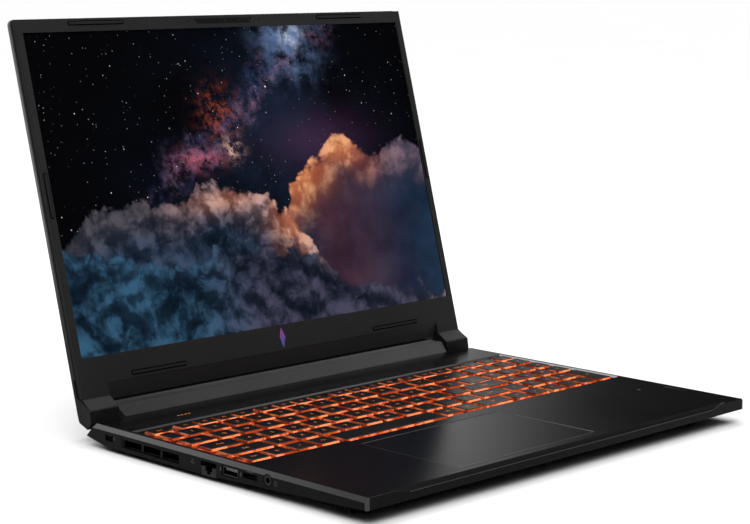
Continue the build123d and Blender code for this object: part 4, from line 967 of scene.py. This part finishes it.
def build_details():
    """Materials of the small pieces, and the pieces themselves."""
    # painted shade: near-black for holes, grooves, openings and the comb's teeth
    black = moulded("painted_shade_black", (0.0004, 0.0004, 0.0004), (0.0012, 0.0012, 0.0012), 0.8,
                    specular=0.05)
    gloss = moulded("camera_window", (0.0085, 0.0085, 0.0088), (0.0120, 0.0120, 0.0124), 0.30,
                    depth=0.000004, spread=0.03, specular=0.25)
    trim = moulded("camera_trim", (0.020, 0.018, 0.024), (0.045, 0.040, 0.055), 0.3)
    etched = moulded("etched_grey", (0.070, 0.070, 0.072), (0.115, 0.115, 0.118), 0.45)
    faint = moulded("faint_grey", (0.034, 0.034, 0.035), (0.055, 0.055, 0.056), 0.5, specular=0.1)
    cut = brushed("cut_edge", (0.07, 0.07, 0.072), (0.13, 0.13, 0.132), 0.40, direction=(1, 1, 1),
                  grain=900)
    build_lid_details(gloss, black, trim)
    build_lid_back(brushed("lid_mark_metal", (0.05, 0.05, 0.052), (0.10, 0.10, 0.105), 0.3,
                           grain=400))
    build_touchpad_edge(cut)
    # painted shadow for the bar's flat top under the lid
    bar_shadow = moulded("bar_top_shadow", (0.0030, 0.0030, 0.0031), (0.0052, 0.0052, 0.0053), 0.9, specular=0.0)
    build_base_details(black, etched, faint, glowing("status_glow", (1.0, 0.34, 0.03), 0.42), bar_shadow)


# ---------------------------------------------------------------- stage
def studio_world():
    """A soft overhead dome that is dark towards the horizon, with one tall soft card behind the
    right-hand edge of the display; the camera itself sees a pale backdrop."""
    world = bpy.data.worlds.new("studio")
    world.use_nodes = True
    tree = world.node_tree
    lamp = tree.nodes["Background"]

    def node(kind, inputs, out=0, **settings):
        made = tree.nodes.new("ShaderNode" + kind)
        for name, value in settings.items():
            setattr(made, name, value)
        for number, value in enumerate(inputs):
            if isinstance(value, bpy.types.NodeSocket):
                tree.links.new(value, made.inputs[number])
            elif value is not None:
                made.inputs[number].default_value = value
        return made.outputs[out]

    def ramp(value, low, high, to_low, to_high):
        return node("MapRange", (value, low, high, to_low, to_high),
                    interpolation_type="SMOOTHSTEP")

    toward = node("TexCoord", ())
    height = node("SeparateXYZ", (toward,), out=2)
    horizon, overhead = 0.004, 2.1      # strengths of the dome
    dome = ramp(height, 0.46, 0.88, horizon, overhead)
    card = math.radians(43)     # direction of the card, from +Y towards +X
    ahead = node("VectorMath", (toward, (math.sin(card), math.cos(card), 0)), out=1,
                 operation="DOT_PRODUCT")
    aside = node("VectorMath", (toward, (math.cos(card), -math.sin(card), 0)), out=1,
                 operation="DOT_PRODUCT")
    band = node("Math", (ramp(node("Math", (aside,), operation="ABSOLUTE"), 0.035, 0.145, 1.0, 0.0),
                         ramp(height, 0.30, 0.50, 1.0, 0.0)), operation="MULTIPLY")
    card_strength = 1.2
    band = node("Math", (band, ramp(ahead, 0.0, 0.3, 0.0, card_strength)), operation="MULTIPLY")
    light = node("Math", (dome, band), operation="ADD")
    backdrop = 0.95                     # strength that the camera itself sees
    seen = node("LightPath", ())
    tree.links.new(node("Mix", (seen, None, light, backdrop)), lamp.inputs[1])
    lamp.inputs[0].default_value = (1.0, 1.0, 1.0, 1.0)
    return world


def build_stage():
    """Floor, world and three soft lamps."""
    floor_shade = Shade("floor", Roughness=1.0, Specular_IOR_Level=0.0)
    floor_shade.set(Base_Color=floor_shade.mix(floor_shade.noise(3, 3), (0.85, 0.85, 0.85),
                                               (0.88, 0.88, 0.88)))
    mesh = bpy.data.meshes.new("floor")
    half = 60                   # metres, so that its far edge is never seen
    mesh.from_pydata([(-half, -half, 0), (half, -half, 0), (half, half, 0), (-half, half, 0)], [],
                     [(0, 1, 2, 3)])
    floor = bpy.data.objects.new("floor", mesh)
    mesh.materials.append(floor_shade.material)
    bpy.context.scene.collection.objects.link(floor)
    bpy.context.scene.world = studio_world()
    bpy.context.scene.view_settings.view_transform = "Standard"
    for name, place, target, size, power in (
            ("key", (-1.3, -1.0, 1.7), (0, 0, 0.05), 1.1, 9),
            ("edge", (-1.10, 1.58, 1.20), (0, 0, 0.02), 0.7, 9),
            ("top", (1.19, 0.54, 1.24), (0, 0, 0.02), 0.6, 6)):
        light = bpy.data.lights.new(name, "AREA")
        light.size = size
        light.energy = power
        holder = bpy.data.objects.new(name, light)
        holder.location = place
        holder.rotation_euler = (Vector(target) - Vector(place)).to_track_quat("-Z", "Y").to_euler()
        holder.visible_camera = False
        bpy.context.scene.collection.objects.link(holder)


def build_camera():
    """The camera that the photograph was taken with, fitted to its edges and corners."""
    place = (-0.90700, -0.90972, 0.30654)
    ahead = Vector((0.69550624, 0.70248989, -0.15092723)).normalized()
    over = Vector((0.10582931, 0.10760777, 0.98854475)).normalized()
    sensor, lens = 36.0, 93.59  # millimetres
    data = bpy.data.cameras.new("camera")
    data.sensor_width = sensor
    data.lens = lens
    camera = bpy.data.objects.new("camera", data)
    right = ahead.cross(over).normalized()
    over = right.cross(ahead)
    turn = Matrix((right, over, -ahead)).transposed().to_4x4()
    camera.matrix_world = Matrix.Translation(place) @ turn
    bpy.context.scene.collection.objects.link(camera)
    bpy.context.scene.camera = camera


dress_all()
build_keys()
build_details()
build_stage()
build_camera()
